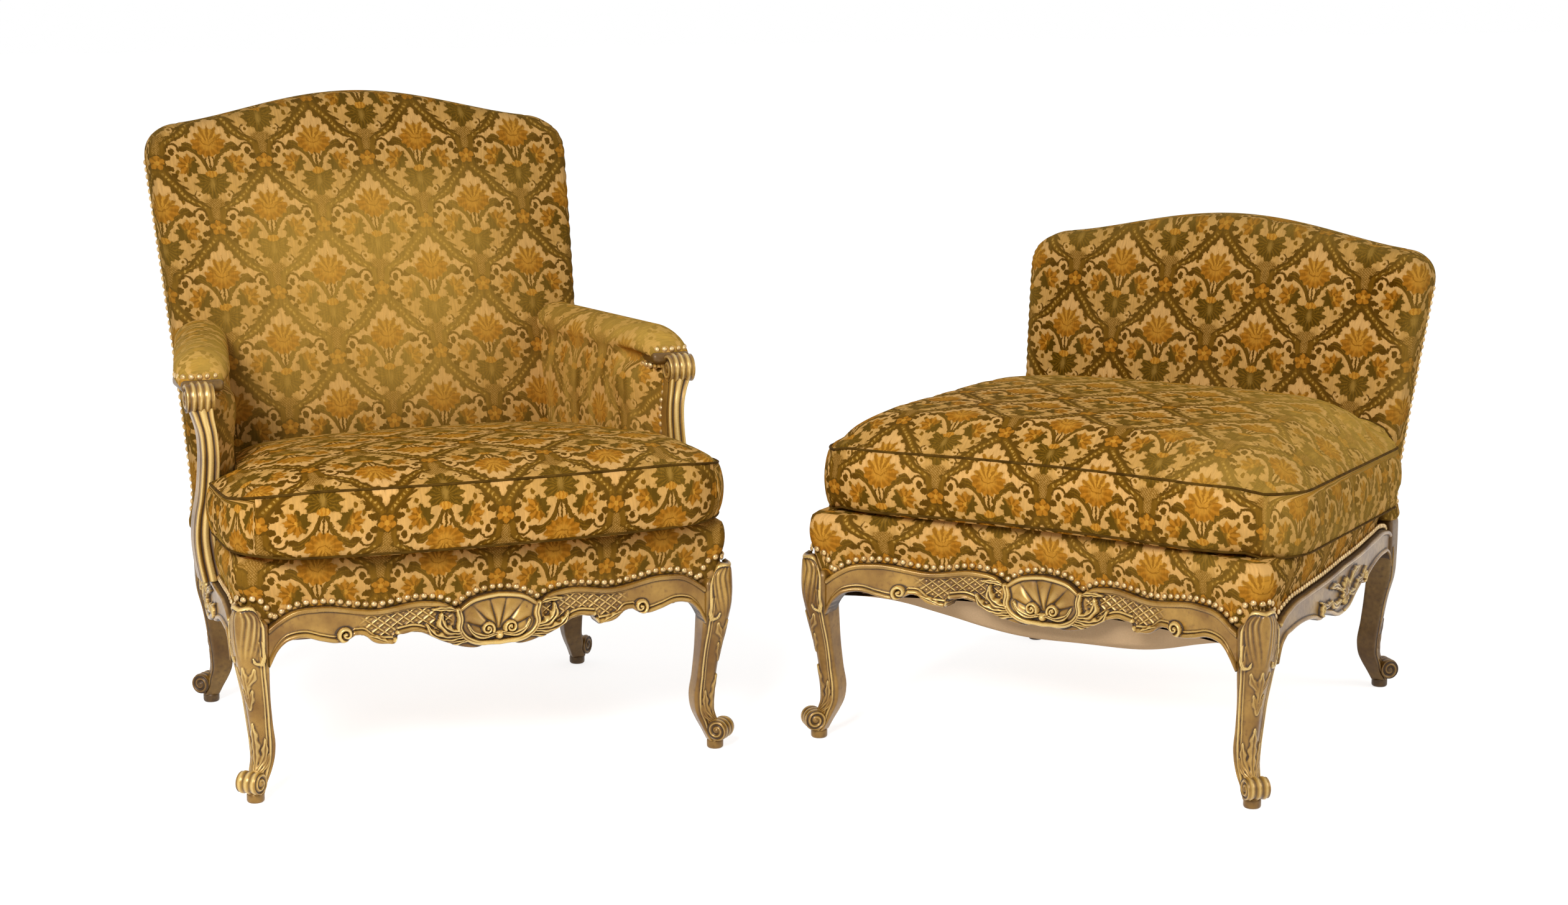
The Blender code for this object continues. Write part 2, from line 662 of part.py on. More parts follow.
def add_undercloth(unit, sag):
    # Linen tacked under the seat frame, hanging in a shallow bag.
    slack = RAIL_THICKNESS + GAP
    front = unit.front_face(unit.front_inner) + slack
    rear = unit.rear - BLOCK_SET_IN - RAIL_THICKNESS / 2 - GAP
    cut = BRACE_REACH + 0.012
    half = []
    for step in range(5):
        x = (unit.side_face(front) - slack - cut) * step / 4
        half.append((x, unit.front_face(x) + slack + 0.001))
    for step in range(5):
        y = front + cut + (rear - front - 2 * cut) * step / 4
        half.append((unit.side_face(y) - slack - 0.001, y))
    half.append((unit.side_face(rear) - slack - cut, rear))
    half.append((0.0, rear))
    outline = half + [(-x, y) for x, y in reversed(half[1:-1])]
    centre = (0.0, (unit.front + unit.rear) / 2)
    edge = RAIL_REBATE - REAR_RAIL_HEIGHT + 0.004
    scales = (1.0, 0.75, 0.4)
    layers = []
    for lift in (0.0, UNDERCLOTH):
        for scale in scales:
            drop = sag * (1 - scale * scale)
            layers.append(
                [
                    (centre[0] + (x - centre[0]) * scale, centre[1] + (y - centre[1]) * scale, edge - drop + lift)
                    for x, y in outline
                ]
            )
    lower = layers[: len(scales)]
    upper = layers[len(scales):]
    rings = list(reversed(lower)) + upper
    add_node(unit.node("undercloth"), *loft(rings), unit.empty, LINEN, 0.9)


def add_back(unit, lower_half, step_height):
    # Pad in front of the frame, frame rails, and the outside cover behind it.
    bottom = DECK_TOP + 0.008
    columns = 12
    heights_low = 4 if lower_half else 0
    heights_high = 8
    pad_rear = BACK_PAD_DEPTH
    front_rows = []
    rear_rows = []
    for row in range(heights_low + heights_high + (2 if lower_half else 1)):
        front_row = []
        rear_row = []
        for i in range(columns + 1):
            u = -1 + 2 * i / columns
            u = math.copysign(1 - (1 - abs(u)) ** 1.35, u)
            x_top = u * unit.half_top
            if lower_half and row <= heights_low:
                z = bottom + (step_height - bottom) * row / heights_low
                half = lower_half
            else:
                start = step_height + GAP if lower_half else bottom
                share = (row - heights_low - (1 if lower_half else 0)) / heights_high
                share = 1 - (1 - share) ** 1.3
                z = start + (unit.back_top(x_top) - start) * share
                half = unit.back_half(z)
            level = min(max((z - bottom) / (unit.back_top(x_top) - bottom), 0.0), 1.0)
            crown = BACK_PAD_CROWN * (1 - abs(u) ** 3) * (1 - abs(2 * level - 1) ** 3)
            rim = max(abs(u), abs(2 * level - 1))
            fall = BACK_PAD_ROUND * max((rim - 0.8) / 0.2, 0.0) ** 2
            face = unit.back_face(z)
            front_row.append((u * half, face - crown + fall, z))
            rear_row.append((u * half, face + pad_rear, z))
        front_rows.append(front_row)
        rear_rows.append(rear_row)
    add_node(unit.node("back_pad"), *slab(front_rows, rear_rows), unit.empty, VELVET, 0.8)

    frame_front = BACK_PAD_DEPTH + LAYER_GAP
    frame_rear = frame_front + BACK_FRAME_DEPTH
    crest_low = unit.shoulder - CREST_RAIL_HEIGHT + GAP
    rings = []
    for i in range(17):
        x = (unit.half_top - COVER_OVERHANG) * (-1 + i / 8)
        high = max(unit.back_top(x) - COVER_OVERHANG, crest_low + 0.004)
        middle = (crest_low + high) / 2
        front = [(x, unit.back_face(z) + frame_front, z) for z in (crest_low, middle, high)]
        rear = [(x, unit.back_face(z) + frame_rear, z) for z in (high, middle, crest_low)]
        rings.append(front + rear)
    add_node(unit.node("crest_rail"), *loft(rings), unit.empty, BARE_WOOD, 0.6)

    stay_low = DECK_TOP + 0.02
    rings = []
    for side in (-1, 1):
        ring = []
        for z, depth in (
            (stay_low, frame_front),
            (stay_low + STAY_RAIL_HEIGHT, frame_front),
            (stay_low + STAY_RAIL_HEIGHT, frame_rear),
            (stay_low, frame_rear),
        ):
            inner = unit.back_half(stay_low) - COVER_OVERHANG - STILE_WIDTH - GAP
            ring.append((side * inner, unit.back_face(z) + depth, z))
        rings.append(ring)
    add_node(unit.node("stay_rail"), *loft(rings), unit.empty, BARE_WOOD, 0.6)

    cover_front = frame_rear + LAYER_GAP
    cover_low = STILE_ROOT + 0.004
    front_rows = []
    rear_rows = []
    for row in range(9):
        front_row = []
        rear_row = []
        for i in range(11):
            u = -1 + i / 5
            share = 1 - (1 - row / 8) ** 1.3
            high = unit.back_top(u * unit.half_top)
            z = cover_low + (high - cover_low) * share
            x = u * unit.back_half(z)
            front_row.append((x, unit.back_face(z) + cover_front, z))
            rear_row.append((x, unit.back_face(z) + cover_front + BACK_COVER, z))
        front_rows.append(front_row)
        rear_rows.append(rear_row)
    add_node(unit.node("outside_back"), *slab(front_rows, rear_rows), unit.empty, VELVET, 0.8)


def add_cushion(unit, outline, centre, crown):
    # Boxed cushion: flat below, sides drawn in between its seams, domed above.
    bottom = DECK_TOP + CUSHION_GAP
    seam_low = bottom + 0.008
    seam_high = bottom + CUSHION_HEIGHT
    middle = (seam_low + seam_high) / 2
    flat = [(p.x, p.y) for p in outline]
    rings = [ring_at(flat, centre, 0.012, bottom), ring_at(flat, centre, 0.0, seam_low)]
    rings.append(ring_at(flat, centre, CUSHION_PULL, middle))
    rings.append(ring_at(flat, centre, 0.0, seam_high))
    for scale in (0.955, 0.86, 0.70, 0.48, 0.22):
        rise = crown * (1 - scale**2.6) ** 0.8
        ring = []
        for x, y in flat:
            ring.append((centre[0] + (x - centre[0]) * scale, centre[1] + (y - centre[1]) * scale, seam_high + rise))
        rings.append(ring)
    add_node(unit.node("cushion"), *loft(rings), unit.empty, VELVET, 0.8)


def arm_inner(unit, y):
    # Half width between the inside faces of the arms.
    support_y = unit.front + ARM_SUPPORT_BEHIND_FOOT
    front_half = ARM_SUPPORT_X - ARM_SUPPORT_WIDTH / 2 - ARM_LINING
    rear_half = arm_rail_x(unit, unit.rear) - ARM_PAD_WIDTH / 2
    share = (y - support_y) / (unit.rear - support_y)
    return front_half + (rear_half - front_half) * share


def arm_rail_x(unit, y):
    # Centre of the arm rail, running from the support to the front of the stile.
    support_y = unit.front + ARM_SUPPORT_BEHIND_FOOT
    stile_x = unit.back_half(ARM_TOP) - COVER_OVERHANG - ARM_RAIL_WIDTH / 2
    share = (y - support_y) / (unit.back_face(ARM_TOP) + BACK_PAD_DEPTH - support_y)
    return ARM_SUPPORT_X + (stile_x - ARM_SUPPORT_X) * share


def add_arm(unit, side, word):
    support_y = unit.front + ARM_SUPPORT_BEHIND_FOOT
    foot = RAIL_TOP - 0.0045
    rail_top = ARM_TOP - ARM_PAD_HEIGHT - GAP
    rail_low = rail_top - ARM_RAIL_HEIGHT
    scroll_z = rail_top - 0.004
    rise = scroll_z - foot
    rings = []
    for share, out, back, wide, deep in (
        (0.0, -0.004, 0.004, 0.90, 1.60),
        (0.10, 0.0, 0.001, 0.95, 1.25),
        (0.27, 0.004, -0.005, 1.0, 1.05),
        (0.48, 0.004, -0.008, 1.0, 1.0),
        (0.68, 0.0, -0.004, 1.05, 0.95),
        (0.83, 0.004, 0.0, 1.15, 0.95),
        (0.95, ARM_FLARE - 0.004, 0.0, 1.30, 1.0),
        (1.06, ARM_FLARE - 0.002, 0.0, 1.10, 0.7),
    ):
        half_x = wide * ARM_SUPPORT_WIDTH / 2
        half_y = deep * ARM_SUPPORT_DEPTH / 2
        ring = rounded_rect(side * (ARM_SUPPORT_X + out), support_y + back, half_x, half_y, 0.3 * half_x)
        rings.append([(x, y, foot + rise * share) for x, y in ring])
    support = add_node(unit.node(f"arm_support_{word}"), *loft(rings), unit.empty, GILT, 0.32, 0.85)
    sideways = Vector((1.0, 0.0, 0.0)).to_track_quat("Z", "Y").to_matrix()
    centre = (side * (ARM_SUPPORT_X + ARM_FLARE), support_y - 0.011, scroll_z - 0.006)
    tools = [
        add_round("tool_scroll", unit.empty, ARM_SCROLL_RADIUS, ARM_SCROLL_WIDTH, 0.004, sideways, centre, 18),
        add_round("tool_eye", unit.empty, 0.4 * ARM_SCROLL_RADIUS, ARM_SCROLL_WIDTH + 0.006, 0.0, sideways, centre, 8),
    ]
    join_by_boolean(support, tools, "UNION")

    start = support_y + 0.55 * ARM_SUPPORT_DEPTH
    stile = unit.back_face(rail_low) + BACK_PAD_DEPTH
    rings = []
    for y in (start + GAP, stile):
        x = arm_rail_x(unit, y)
        ends = [x - ARM_RAIL_WIDTH / 2, x + ARM_RAIL_WIDTH / 2]
        corners = [(ends[0], rail_low), (ends[1], rail_low), (ends[1], rail_top), (ends[0], rail_top)]
        rings.append([(side * cx, y, z) for cx, z in corners])
    add_node(unit.node(f"arm_rail_{word}"), *loft(rings), unit.empty, BARE_WOOD, 0.6)

    pad_rear = unit.back_face(rail_top) + BACK_PAD_DEPTH
    rings = []
    for share, size in ((0.0, 0.80), (0.06, 1.0), (0.35, 1.0), (0.7, 1.0), (1.0, 0.96)):
        y = start + GAP + (pad_rear - start - GAP) * share
        x = arm_rail_x(unit, y)
        ring = []
        for i in range(11):
            angle = math.pi * i / 10
            across = size * ARM_PAD_WIDTH / 2 * math.cos(angle)
            up = size * ARM_PAD_HEIGHT * math.sin(angle) ** 0.65
            ring.append((side * (x + across), y, ARM_TOP - ARM_PAD_HEIGHT + up))
        rings.append(ring)
    add_node(unit.node(f"arm_top_pad_{word}"), *loft(rings), unit.empty, VELVET, 0.8)

    lining_front = support_y - ARM_SUPPORT_DEPTH / 2
    lining_low = DECK_TOP + CUSHION_GAP
    rings = []
    for y in (lining_front, support_y + 0.12, support_y + 0.25, unit.back_face(lining_low) + BACK_PAD_DEPTH):
        inner = arm_inner(unit, y)
        outer = arm_rail_x(unit, y) - ARM_RAIL_WIDTH / 2 - GAP
        outer = min(outer, ARM_SUPPORT_X - 0.55 * ARM_SUPPORT_WIDTH - GAP)
        corners = [(inner + 0.006, lining_low), (outer, lining_low), (outer, rail_top), (inner + 0.006, rail_top)]
        corners += [(inner, rail_top - 0.03), (inner, lining_low + 0.04)]
        rings.append([(side * cx, y, z) for cx, z in corners])
    add_node(unit.node(f"arm_lining_{word}"), *loft(rings), unit.empty, VELVET, 0.8)

    panel_low = RAIL_TOP - 0.0035
    panel_front = support_y + 0.95 * ARM_SUPPORT_DEPTH + 0.002
    rings = []
    profile = [(panel_low, 0.0), (rail_low - 0.02, 0.0), (rail_top, 0.0)]
    profile += [(z, ARM_PANEL) for z, _ in reversed(profile)]
    for share in (0.0, 0.33, 0.67, 1.0):
        ring = []
        for z, thickness in profile:
            rear = unit.back_face(z) + BACK_PAD_DEPTH - ARM_CLEAR
            y = panel_front + (rear - panel_front) * share
            height = min((z - panel_low) / (rail_low - 0.02 - panel_low), 1.0)
            foot_x = unit.side_face(y) - RAIL_LIP + 0.004
            head_x = arm_rail_x(unit, y) + ARM_RAIL_WIDTH / 2 + GAP
            ring.append((side * (foot_x + (head_x - foot_x) * height + thickness), y, z))
        rings.append(ring)
    add_node(unit.node(f"outside_arm_{word}"), *loft(rings), unit.empty, VELVET, 0.8)


def bowed_front(outline, front_y, half, bow):
    # Moves the points of the front edge out by the bow.
    moved = []
    for point in outline:
        closeness = min(max((front_y + 0.09 - point.y) / 0.09, 0.0), 1.0)
        share = min(abs(point.x) / half, 1.0)
        moved.append(Vector((point.x, point.y - bow * (1 - share * share) * closeness)))
    return moved


def add_chair(empty):
    unit = Unit(
        "bergere", empty, CHAIR_FOOT_DEPTH, CHAIR_BOW, CHAIR_CREST, CHAIR_SHOULDER_DROP,
        CHAIR_BACK_HALF_BOTTOM, CHAIR_BACK_HALF_TOP, CHAIR_BACK_SET_IN, CHAIR_BACK_RAKE,
    )
    add_frame(unit)
    support_y = unit.front + ARM_SUPPORT_BEHIND_FOOT
    reach = 0.95 * ARM_SUPPORT_DEPTH + 0.002
    notches = []
    for side in (-1, 1):
        edges = sorted((side * (ARM_SUPPORT_X - 0.55 * ARM_SUPPORT_WIDTH - 0.004), side * (ARM_SUPPORT_X + 0.1)))
        notches.append((edges[0], edges[1], support_y - reach, support_y + reach))
    add_deck(unit, support_y - reach - 0.010, notches)
    add_undercloth(unit, CHAIR_UNDERCLOTH_SAG)
    for side, word in ((-1, "left"), (1, "right")):
        add_arm(unit, side, word)
    pad_front = unit.back_face(DECK_TOP) - BACK_PAD_CROWN
    add_back(unit, arm_inner(unit, unit.back_face(ARM_TOP)) - 2 * GAP - 0.012, ARM_TOP + 0.010)

    front_y = unit.front - CHAIR_CUSHION_FRONT
    ear_rear = support_y - 0.011 - ARM_SCROLL_RADIUS - ARM_CLEAR
    rear_y = pad_front - ARM_CLEAR
    neck = arm_inner(unit, ear_rear) - ARM_CLEAR
    tail = arm_inner(unit, rear_y) - ARM_CLEAR - 0.012
    right = [
        (CUSHION_EAR_HALF, front_y, 0.050),
        (CUSHION_EAR_HALF, ear_rear, 0.022),
        (neck, ear_rear, 0.012),
        (tail, rear_y, 0.030),
    ]
    corners = right + [(-x, y, r) for x, y, r in reversed(right)]
    outline = bowed_front(rounded_outline(corners), front_y, CUSHION_EAR_HALF, CHAIR_CUSHION_BOW)
    add_cushion(unit, outline, (0.0, -0.06), CHAIR_CUSHION_CROWN)


def add_stool(empty):
    unit = Unit(
        "stool", empty, STOOL_FOOT_DEPTH, STOOL_BOW, STOOL_CREST, STOOL_SHOULDER_DROP,
        STOOL_BACK_HALF_BOTTOM, STOOL_BACK_HALF_TOP, STOOL_BACK_SET_IN, STOOL_BACK_RAKE,
    )
    add_frame(unit)
    add_deck(unit, unit.post_front - 0.030, [])
    add_undercloth(unit, STOOL_UNDERCLOTH_SAG)
    add_back(unit, None, 0.0)
    front_y = unit.front - STOOL_CUSHION_FRONT
    rear_y = unit.back_face(DECK_TOP) - BACK_PAD_CROWN - ARM_CLEAR
    right = [(STOOL_CUSHION_FRONT_HALF, front_y, 0.075), (STOOL_CUSHION_REAR_HALF, rear_y, 0.035)]
    corners = right + [(-x, y, r) for x, y, r in reversed(right)]
    outline = bowed_front(rounded_outline(corners), front_y, STOOL_CUSHION_FRONT_HALF, STOOL_CUSHION_BOW)
    add_cushion(unit, outline, (0.0, -0.03), STOOL_CUSHION_CROWN)


def add_frame(unit):
    for side, word in ((-1, "left"), (1, "right")):
        add_front_leg(unit, side, word)
        add_rear_post(unit, side, word)
    add_seat_rails(unit)
    add_corner_braces(unit)
    add_webbing(unit)


def swing_axis():
    # Point on the floor about which the stool turns from where it stands to where it meets the bergere.
    toe = TOE_SET_OUT / math.sqrt(2) + TOE_RADIUS + TOE_WIDTH / 4
    meeting = Vector((0.0, -(CHAIR_FOOT_DEPTH + STOOL_FOOT_DEPTH) / 2 - 2 * toe - MEETING_GAP))
    standing = Vector((STOOL_X, STOOL_Y))
    turn = -math.pi - STOOL_TURN
    middle = (standing + meeting) / 2
    chord = meeting - standing
    return middle + Vector((-chord.y, chord.x)) / (2 * math.tan(turn / 2)), math.degrees(turn)


def main():
    clear_scene()
    origin = add_empty("duchesse_brisee", None, (0.0, 0.0, 0.0))
    axis, swing = swing_axis()
    chair = add_empty("bergere", origin, (0.0, 0.0, 0.0))
    pivot = add_empty("stool_pivot", origin, (axis.x, axis.y, 0.0))
    stool = add_empty("stool", pivot, (STOOL_X - axis.x, STOOL_Y - axis.y, 0.0), STOOL_TURN)
    add_chair(chair)
    add_stool(stool)

    # The origin of the whole is the middle of its footprint.
    bpy.context.view_layer.update()
    points = [o.matrix_world @ v.co for o in bpy.data.objects if o.type == "MESH" for v in o.data.vertices]
    xs = [p.x for p in points]
    ys = [p.y for p in points]
    origin.location = (-(min(xs) + max(xs)) / 2, -(min(ys) + max(ys)) / 2, 0.0)
    bpy.context.view_layer.update()
    place = pivot.matrix_world.translation
    print(f"swing axis {place.x:.4f} {place.y:.4f}, closes by {swing:.2f} degrees")


main()
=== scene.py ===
# %% [markdown]
# # A duchesse brisee in gilt wood and figured velvet
#
# A duchesse brisee is a long chair made in two parts: an armchair with closed sides, called a
# bergere, and a long stool with a low back that stands in front of it. The frame comes from
# CAD with every solid in its place. This notebook dresses it: carved and gilded wood, stuffed
# backs, arms and seats, two loose cushions, brass nails and a linen cloth underneath.

# %% Load the frame
import json
import math

import bpy
import numpy as np
from mathutils import Matrix, Vector


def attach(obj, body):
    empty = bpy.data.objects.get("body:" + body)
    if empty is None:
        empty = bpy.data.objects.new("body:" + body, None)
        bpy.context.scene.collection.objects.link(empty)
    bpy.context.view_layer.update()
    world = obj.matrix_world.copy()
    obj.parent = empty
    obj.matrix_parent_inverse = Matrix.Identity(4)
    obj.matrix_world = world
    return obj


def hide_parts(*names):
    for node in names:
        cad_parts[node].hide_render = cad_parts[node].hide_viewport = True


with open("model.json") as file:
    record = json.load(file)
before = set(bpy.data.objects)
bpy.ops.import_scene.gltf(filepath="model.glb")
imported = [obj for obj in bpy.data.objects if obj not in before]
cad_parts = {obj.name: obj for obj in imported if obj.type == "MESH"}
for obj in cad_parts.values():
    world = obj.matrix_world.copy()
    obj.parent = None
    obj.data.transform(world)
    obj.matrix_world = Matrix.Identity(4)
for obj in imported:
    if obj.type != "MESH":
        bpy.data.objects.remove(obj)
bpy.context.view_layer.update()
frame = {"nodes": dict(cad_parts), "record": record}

# %% [markdown]
# Most pieces here are surfaces that follow a rule: a rail bows, a back leans, a cushion swells.
# Blender's grid primitive is a good start for all of them. It gives a flat sheet of squares,
# and each corner is then moved to where the rule puts it. These helpers select one piece,
# make a grid, move its corners, and close it where two edges meet.

# %% Helpers for pieces that start as a grid
def only(piece):
    bpy.ops.object.select_all(action="DESELECT")
    piece.select_set(True)
    bpy.context.view_layer.objects.active = piece


def points_of(piece):
    flat = np.empty(len(piece.data.vertices) * 3)
    piece.data.vertices.foreach_get("co", flat)
    return flat.reshape(-1, 3)


def flat_grid(name, across, up):
    bpy.ops.object.select_all(action="DESELECT")
    bpy.ops.mesh.primitive_grid_add(x_subdivisions=across, y_subdivisions=up, size=2.0, calc_uvs=False)
    piece = bpy.context.object
    piece.name = piece.data.name = name
    flat = points_of(piece)
    column = np.rint((flat[:, 0] + 1) / 2 * across).astype(int)
    row = np.rint((flat[:, 1] + 1) / 2 * up).astype(int)
    return piece, column, row


def move_points(piece, x, y, z):
    piece.data.vertices.foreach_set("co", np.column_stack((x, y, z)).ravel())
    piece.data.update()


def note(piece, name, values):
    spot = piece.data.attributes.new(name, "FLOAT", "POINT")
    spread = np.broadcast_to(values, len(piece.data.vertices))
    spot.data.foreach_set("value", spread.astype(np.float32))


def weld(piece, fill=False):
    only(piece)
    bpy.ops.object.mode_set(mode="EDIT")
    bpy.ops.mesh.select_all(action="SELECT")
    bpy.ops.mesh.remove_doubles(threshold=2e-5)
    if fill:
        bpy.ops.mesh.fill_holes(sides=0)
    bpy.ops.mesh.select_all(action="SELECT")
    bpy.ops.mesh.normals_make_consistent(inside=False)
    bpy.ops.object.mode_set(mode="OBJECT")


def join(piece, *others):
    only(piece)
    for other in others:
        other.select_set(True)
    bpy.ops.object.join()
    return piece


def settle(piece, seat, body, slot, material, *nodes):
    piece.data.transform(seat.stand)
    piece.data.materials.clear()
    piece.data.materials.append(material)
    only(piece)
    bpy.ops.object.shade_smooth()
    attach(piece, body)
    if nodes:
        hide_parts(*nodes)
    print(piece.name, len(piece.data.polygons), "faces")


# %% [markdown]
# The curves of the rails were drawn as a few points with a smooth line through them. The same
# lines are needed here, so that the carved faces land on the solids from CAD.

# %% Smooth lines through a few points
def through(points, at):
    px, py = np.array(points, float).T
    slope = np.gradient(py, px)
    at = np.clip(at, px[0], px[-1])
    i = np.clip(np.searchsorted(px, at, side="right") - 1, 0, len(px) - 2)
    wide = px[i + 1] - px[i]
    t = (at - px[i]) / wide
    start = py[i] * (2 * t**3 - 3 * t**2 + 1) + wide * slope[i] * (t**3 - 2 * t**2 + t)
    return start + py[i + 1] * (3 * t**2 - 2 * t**3) + wide * slope[i + 1] * (t**3 - t**2)


def edge(parts, share):
    drop = np.zeros_like(share)
    for points in parts:
        here = (share >= points[0][0]) & (share <= points[-1][0])
        drop[here] = through(points, share[here])
    return drop


def sweep(points, steps=40):
    points = np.array(points, float)
    run = np.concatenate(([0], np.cumsum(np.hypot(*np.diff(points, axis=0).T))))
    at = np.linspace(0, run[-1], steps)
    return np.column_stack([through(np.column_stack((run, points[:, k])), at) for k in (0, 1)])


# %% [markdown]
# The two seats share one set of lines: bowed front, spreading sides, leaning back. Each seat
# keeps its own sizes and the matrix that stands it on the floor, found from its four feet.

# %% The lines of the two seats
RAIL_TOP = 0.304
REBATE = 0.272
RAIL_THICK = 0.032
LIP = 0.014
BLOCK = 0.061
REAR_BLOCK = 0.050
SET_IN = 0.005
FRONT_OUT = 0.0215
HALF_BOTTOM = 0.335
FRAME_BACK = 0.0746
REAR_RAIL_FACE = 0.011
feet = {spot["name"]: Vector(spot["pos_m"]) for spot in frame["record"]["mounts"]}


class Seat:
    def __init__(self, name, bow, crest, shoulder, half_top, root, rake):
        self.name, self.bow, self.crest, self.shoulder = name, bow, crest, shoulder
        self.half_top, self.root, self.rake = half_top, root, rake
        left, right = feet[f"{name}_front_foot_left"], feet[f"{name}_front_foot_right"]
        back_left, back_right = feet[f"{name}_rear_foot_left"], feet[f"{name}_rear_foot_right"]
        front, rear = (left + right) / 2, (back_left + back_right) / 2
        turn = math.atan2((right - left).y, (right - left).x)
        self.stand = Matrix.Translation((front + rear) / 2) @ Matrix.Rotation(turn, 4, "Z")
        self.front, self.rear = -(rear - front).length / 2, (rear - front).length / 2
        self.front_foot, self.rear_foot = (right - left).length / 2, (back_right - back_left).length / 2
        self.front_outer = self.front_foot + BLOCK / 2 - SET_IN
        self.rear_outer = self.rear_foot + REAR_BLOCK / 2 - SET_IN
        self.inner = self.front_outer - BLOCK
        self.block_back = self.front + SET_IN + BLOCK / 2
        self.post_front = self.rear - SET_IN - REAR_BLOCK / 2
        self.side_middle = (self.post_front + self.block_back) / 2
        self.side_half = (self.post_front - self.block_back) / 2

    def bow_at(self, x):
        return self.bow * (1 - np.minimum(np.abs(x) / self.inner, 1) ** 2)

    def front_face(self, x):
        return self.front - FRONT_OUT - self.bow_at(x)

    def side_face(self, y):
        s = (y - self.block_back) / (self.post_front - self.block_back)
        lean = self.front_outer + (self.rear_outer - self.front_outer) * np.maximum(s, 0)
        inside = np.clip(s, 0, 1)
        return lean - 0.004 + 0.032 * inside * (1 - inside)

    def back_face(self, z):
        rise = np.maximum((z - RAIL_TOP) / (self.crest - RAIL_TOP), 0)
        return self.root + self.rake * rise**1.33

    def back_half(self, z):
        share = (z - RAIL_TOP) / (self.shoulder - RAIL_TOP)
        spread = (self.rear_outer - 0.0015 - HALF_BOTTOM) * np.clip((0.375 - z) / 0.065, 0, 1) ** 2
        return HALF_BOTTOM + (self.half_top - HALF_BOTTOM) * np.clip(share, -0.2, 1) + spread

    def back_top(self, x):
        share = np.abs(x) / self.half_top
        hump = 0.5 + 0.5 * np.cos(np.pi * np.minimum(share / 0.88, 1))
        return self.shoulder + (self.crest - self.shoulder) * hump**0.75

    def slope_length(self, z):
        heights = np.linspace(0.25, self.crest + 0.02, 400)
        steps = np.hypot(np.diff(heights), np.diff(self.back_face(heights)))
        return np.interp(z, heights, np.concatenate(([0], np.cumsum(steps))))


chair = Seat("bergere", bow=0.0255, crest=1.020, shoulder=0.970, half_top=0.371, root=0.262, rake=0.213)
stool = Seat("stool", bow=-0.078, crest=0.801, shoulder=0.755, half_top=0.372, root=0.318, rake=0.117)
print("fronts", round(chair.front, 3), round(stool.front, 3), "outer", round(chair.front_outer, 4))

# %% [markdown]
# A material is a small program that runs at every point of a surface. Written node by node it
# gets long, so this helper lets plain sums stand for Math nodes: a Field is a number that the
# material works out, and adding two Fields puts an Add node in the tree.

# %% A short way to write shader sums
class Field:
    def __init__(self, tree, socket):
        self.tree, self.socket = tree, socket

    def math(self, operation, *values, clamp=False):
        node = self.tree.nodes.new("ShaderNodeMath")
        node.operation, node.use_clamp = operation, clamp
        for slot, value in zip(node.inputs, values):
            if isinstance(value, Field):
                self.tree.links.new(value.socket, slot)
            else:
                slot.default_value = value
        return Field(self.tree, node.outputs[0])

    def __add__(self, other):
        return self.math("ADD", self, other)

    def __sub__(self, other):
        return self.math("SUBTRACT", self, other)

    def __rsub__(self, other):
        return self.math("SUBTRACT", other, self)

    def __mul__(self, other):
        return self.math("MULTIPLY", self, other)

    def __truediv__(self, other):
        return self.math("DIVIDE", self, other)

    def size(self):
        return self.math("ABSOLUTE", self)

    def part(self):
        return self.math("FRACT", self)

    def wave(self):
        return self.math("COSINE", self)

    def power(self, other):
        return self.math("POWER", self, other)

    def least(self, other):
        return self.math("MINIMUM", self, other)

    def most(self, other):
        return self.math("MAXIMUM", self, other)

    def below(self, limit, soft):
        if isinstance(limit, Field):
            return self.math("MULTIPLY_ADD", limit - self, 1 / soft, 0.5, clamp=True)
        return self.math("MULTIPLY_ADD", self, -1 / soft, limit / soft + 0.5, clamp=True)

    def above(self, limit, soft):
        return self.math("MULTIPLY_ADD", self, 1 / soft, 0.5 - limit / soft, clamp=True)

    def curve(self, points):
        node = self.tree.nodes.new("ShaderNodeFloatCurve")
        line = node.mapping.curves[0].points
        line[0].location, line[-1].location = points[0], points[-1]
        for spot in points[1:-1]:
            line.new(*spot)
        node.mapping.update()
        self.tree.links.new(self.socket, node.inputs["Value"])
        return Field(self.tree, node.outputs[0])

    def length(self, other):
        return (self * self + other * other).power(0.5)

    def angle(self, other):
        return self.math("ARCTAN2", self, other)


def tint(tree, amount, below, over):
    node = tree.nodes.new("ShaderNodeMix")
    node.data_type = "RGBA"
    tree.links.new(amount.socket, node.inputs[0])
    for slot, colour in ((node.inputs[6], below), (node.inputs[7], over)):
        if isinstance(colour, tuple):
            slot.default_value = (*colour, 1.0)
        else:
            tree.links.new(colour, slot)
    return node.outputs[2]


def new_material(name):
    material = bpy.data.materials.new(name)
    material.use_nodes = True
    tree = material.node_tree
    shader = tree.nodes["Principled BSDF"]
    return material, tree, shader


def reading(tree, name):
    node = tree.nodes.new("ShaderNodeAttribute")
    node.attribute_name = name
    return Field(tree, node.outputs["Fac"])


def noise(tree, vector, scale, detail):
    node = tree.nodes.new("ShaderNodeTexNoise")
    node.inputs["Scale"].default_value = scale
    node.inputs["Detail"].default_value = detail
    tree.links.new(vector, node.inputs["Vector"])
    return Field(tree, node.outputs["Fac"])


def srgb(red, green, blue):
    return tuple(((n / 255 + 0.055) / 1.055) ** 2.4 if n > 10 else n / 3295 for n in (red, green, blue))


# %% [markdown]
# The velvet has a common traditional pattern: an ogee lattice of scrolling bands with a
# rosette at every crossing and a bouquet in every cell. The repeat is 180 mm wide and 232 mm
# high, and every other column drops by half. All of it is drawn with sums in the material.
# The cloth coordinates are metres on the piece, so the pattern has the same size everywhere.

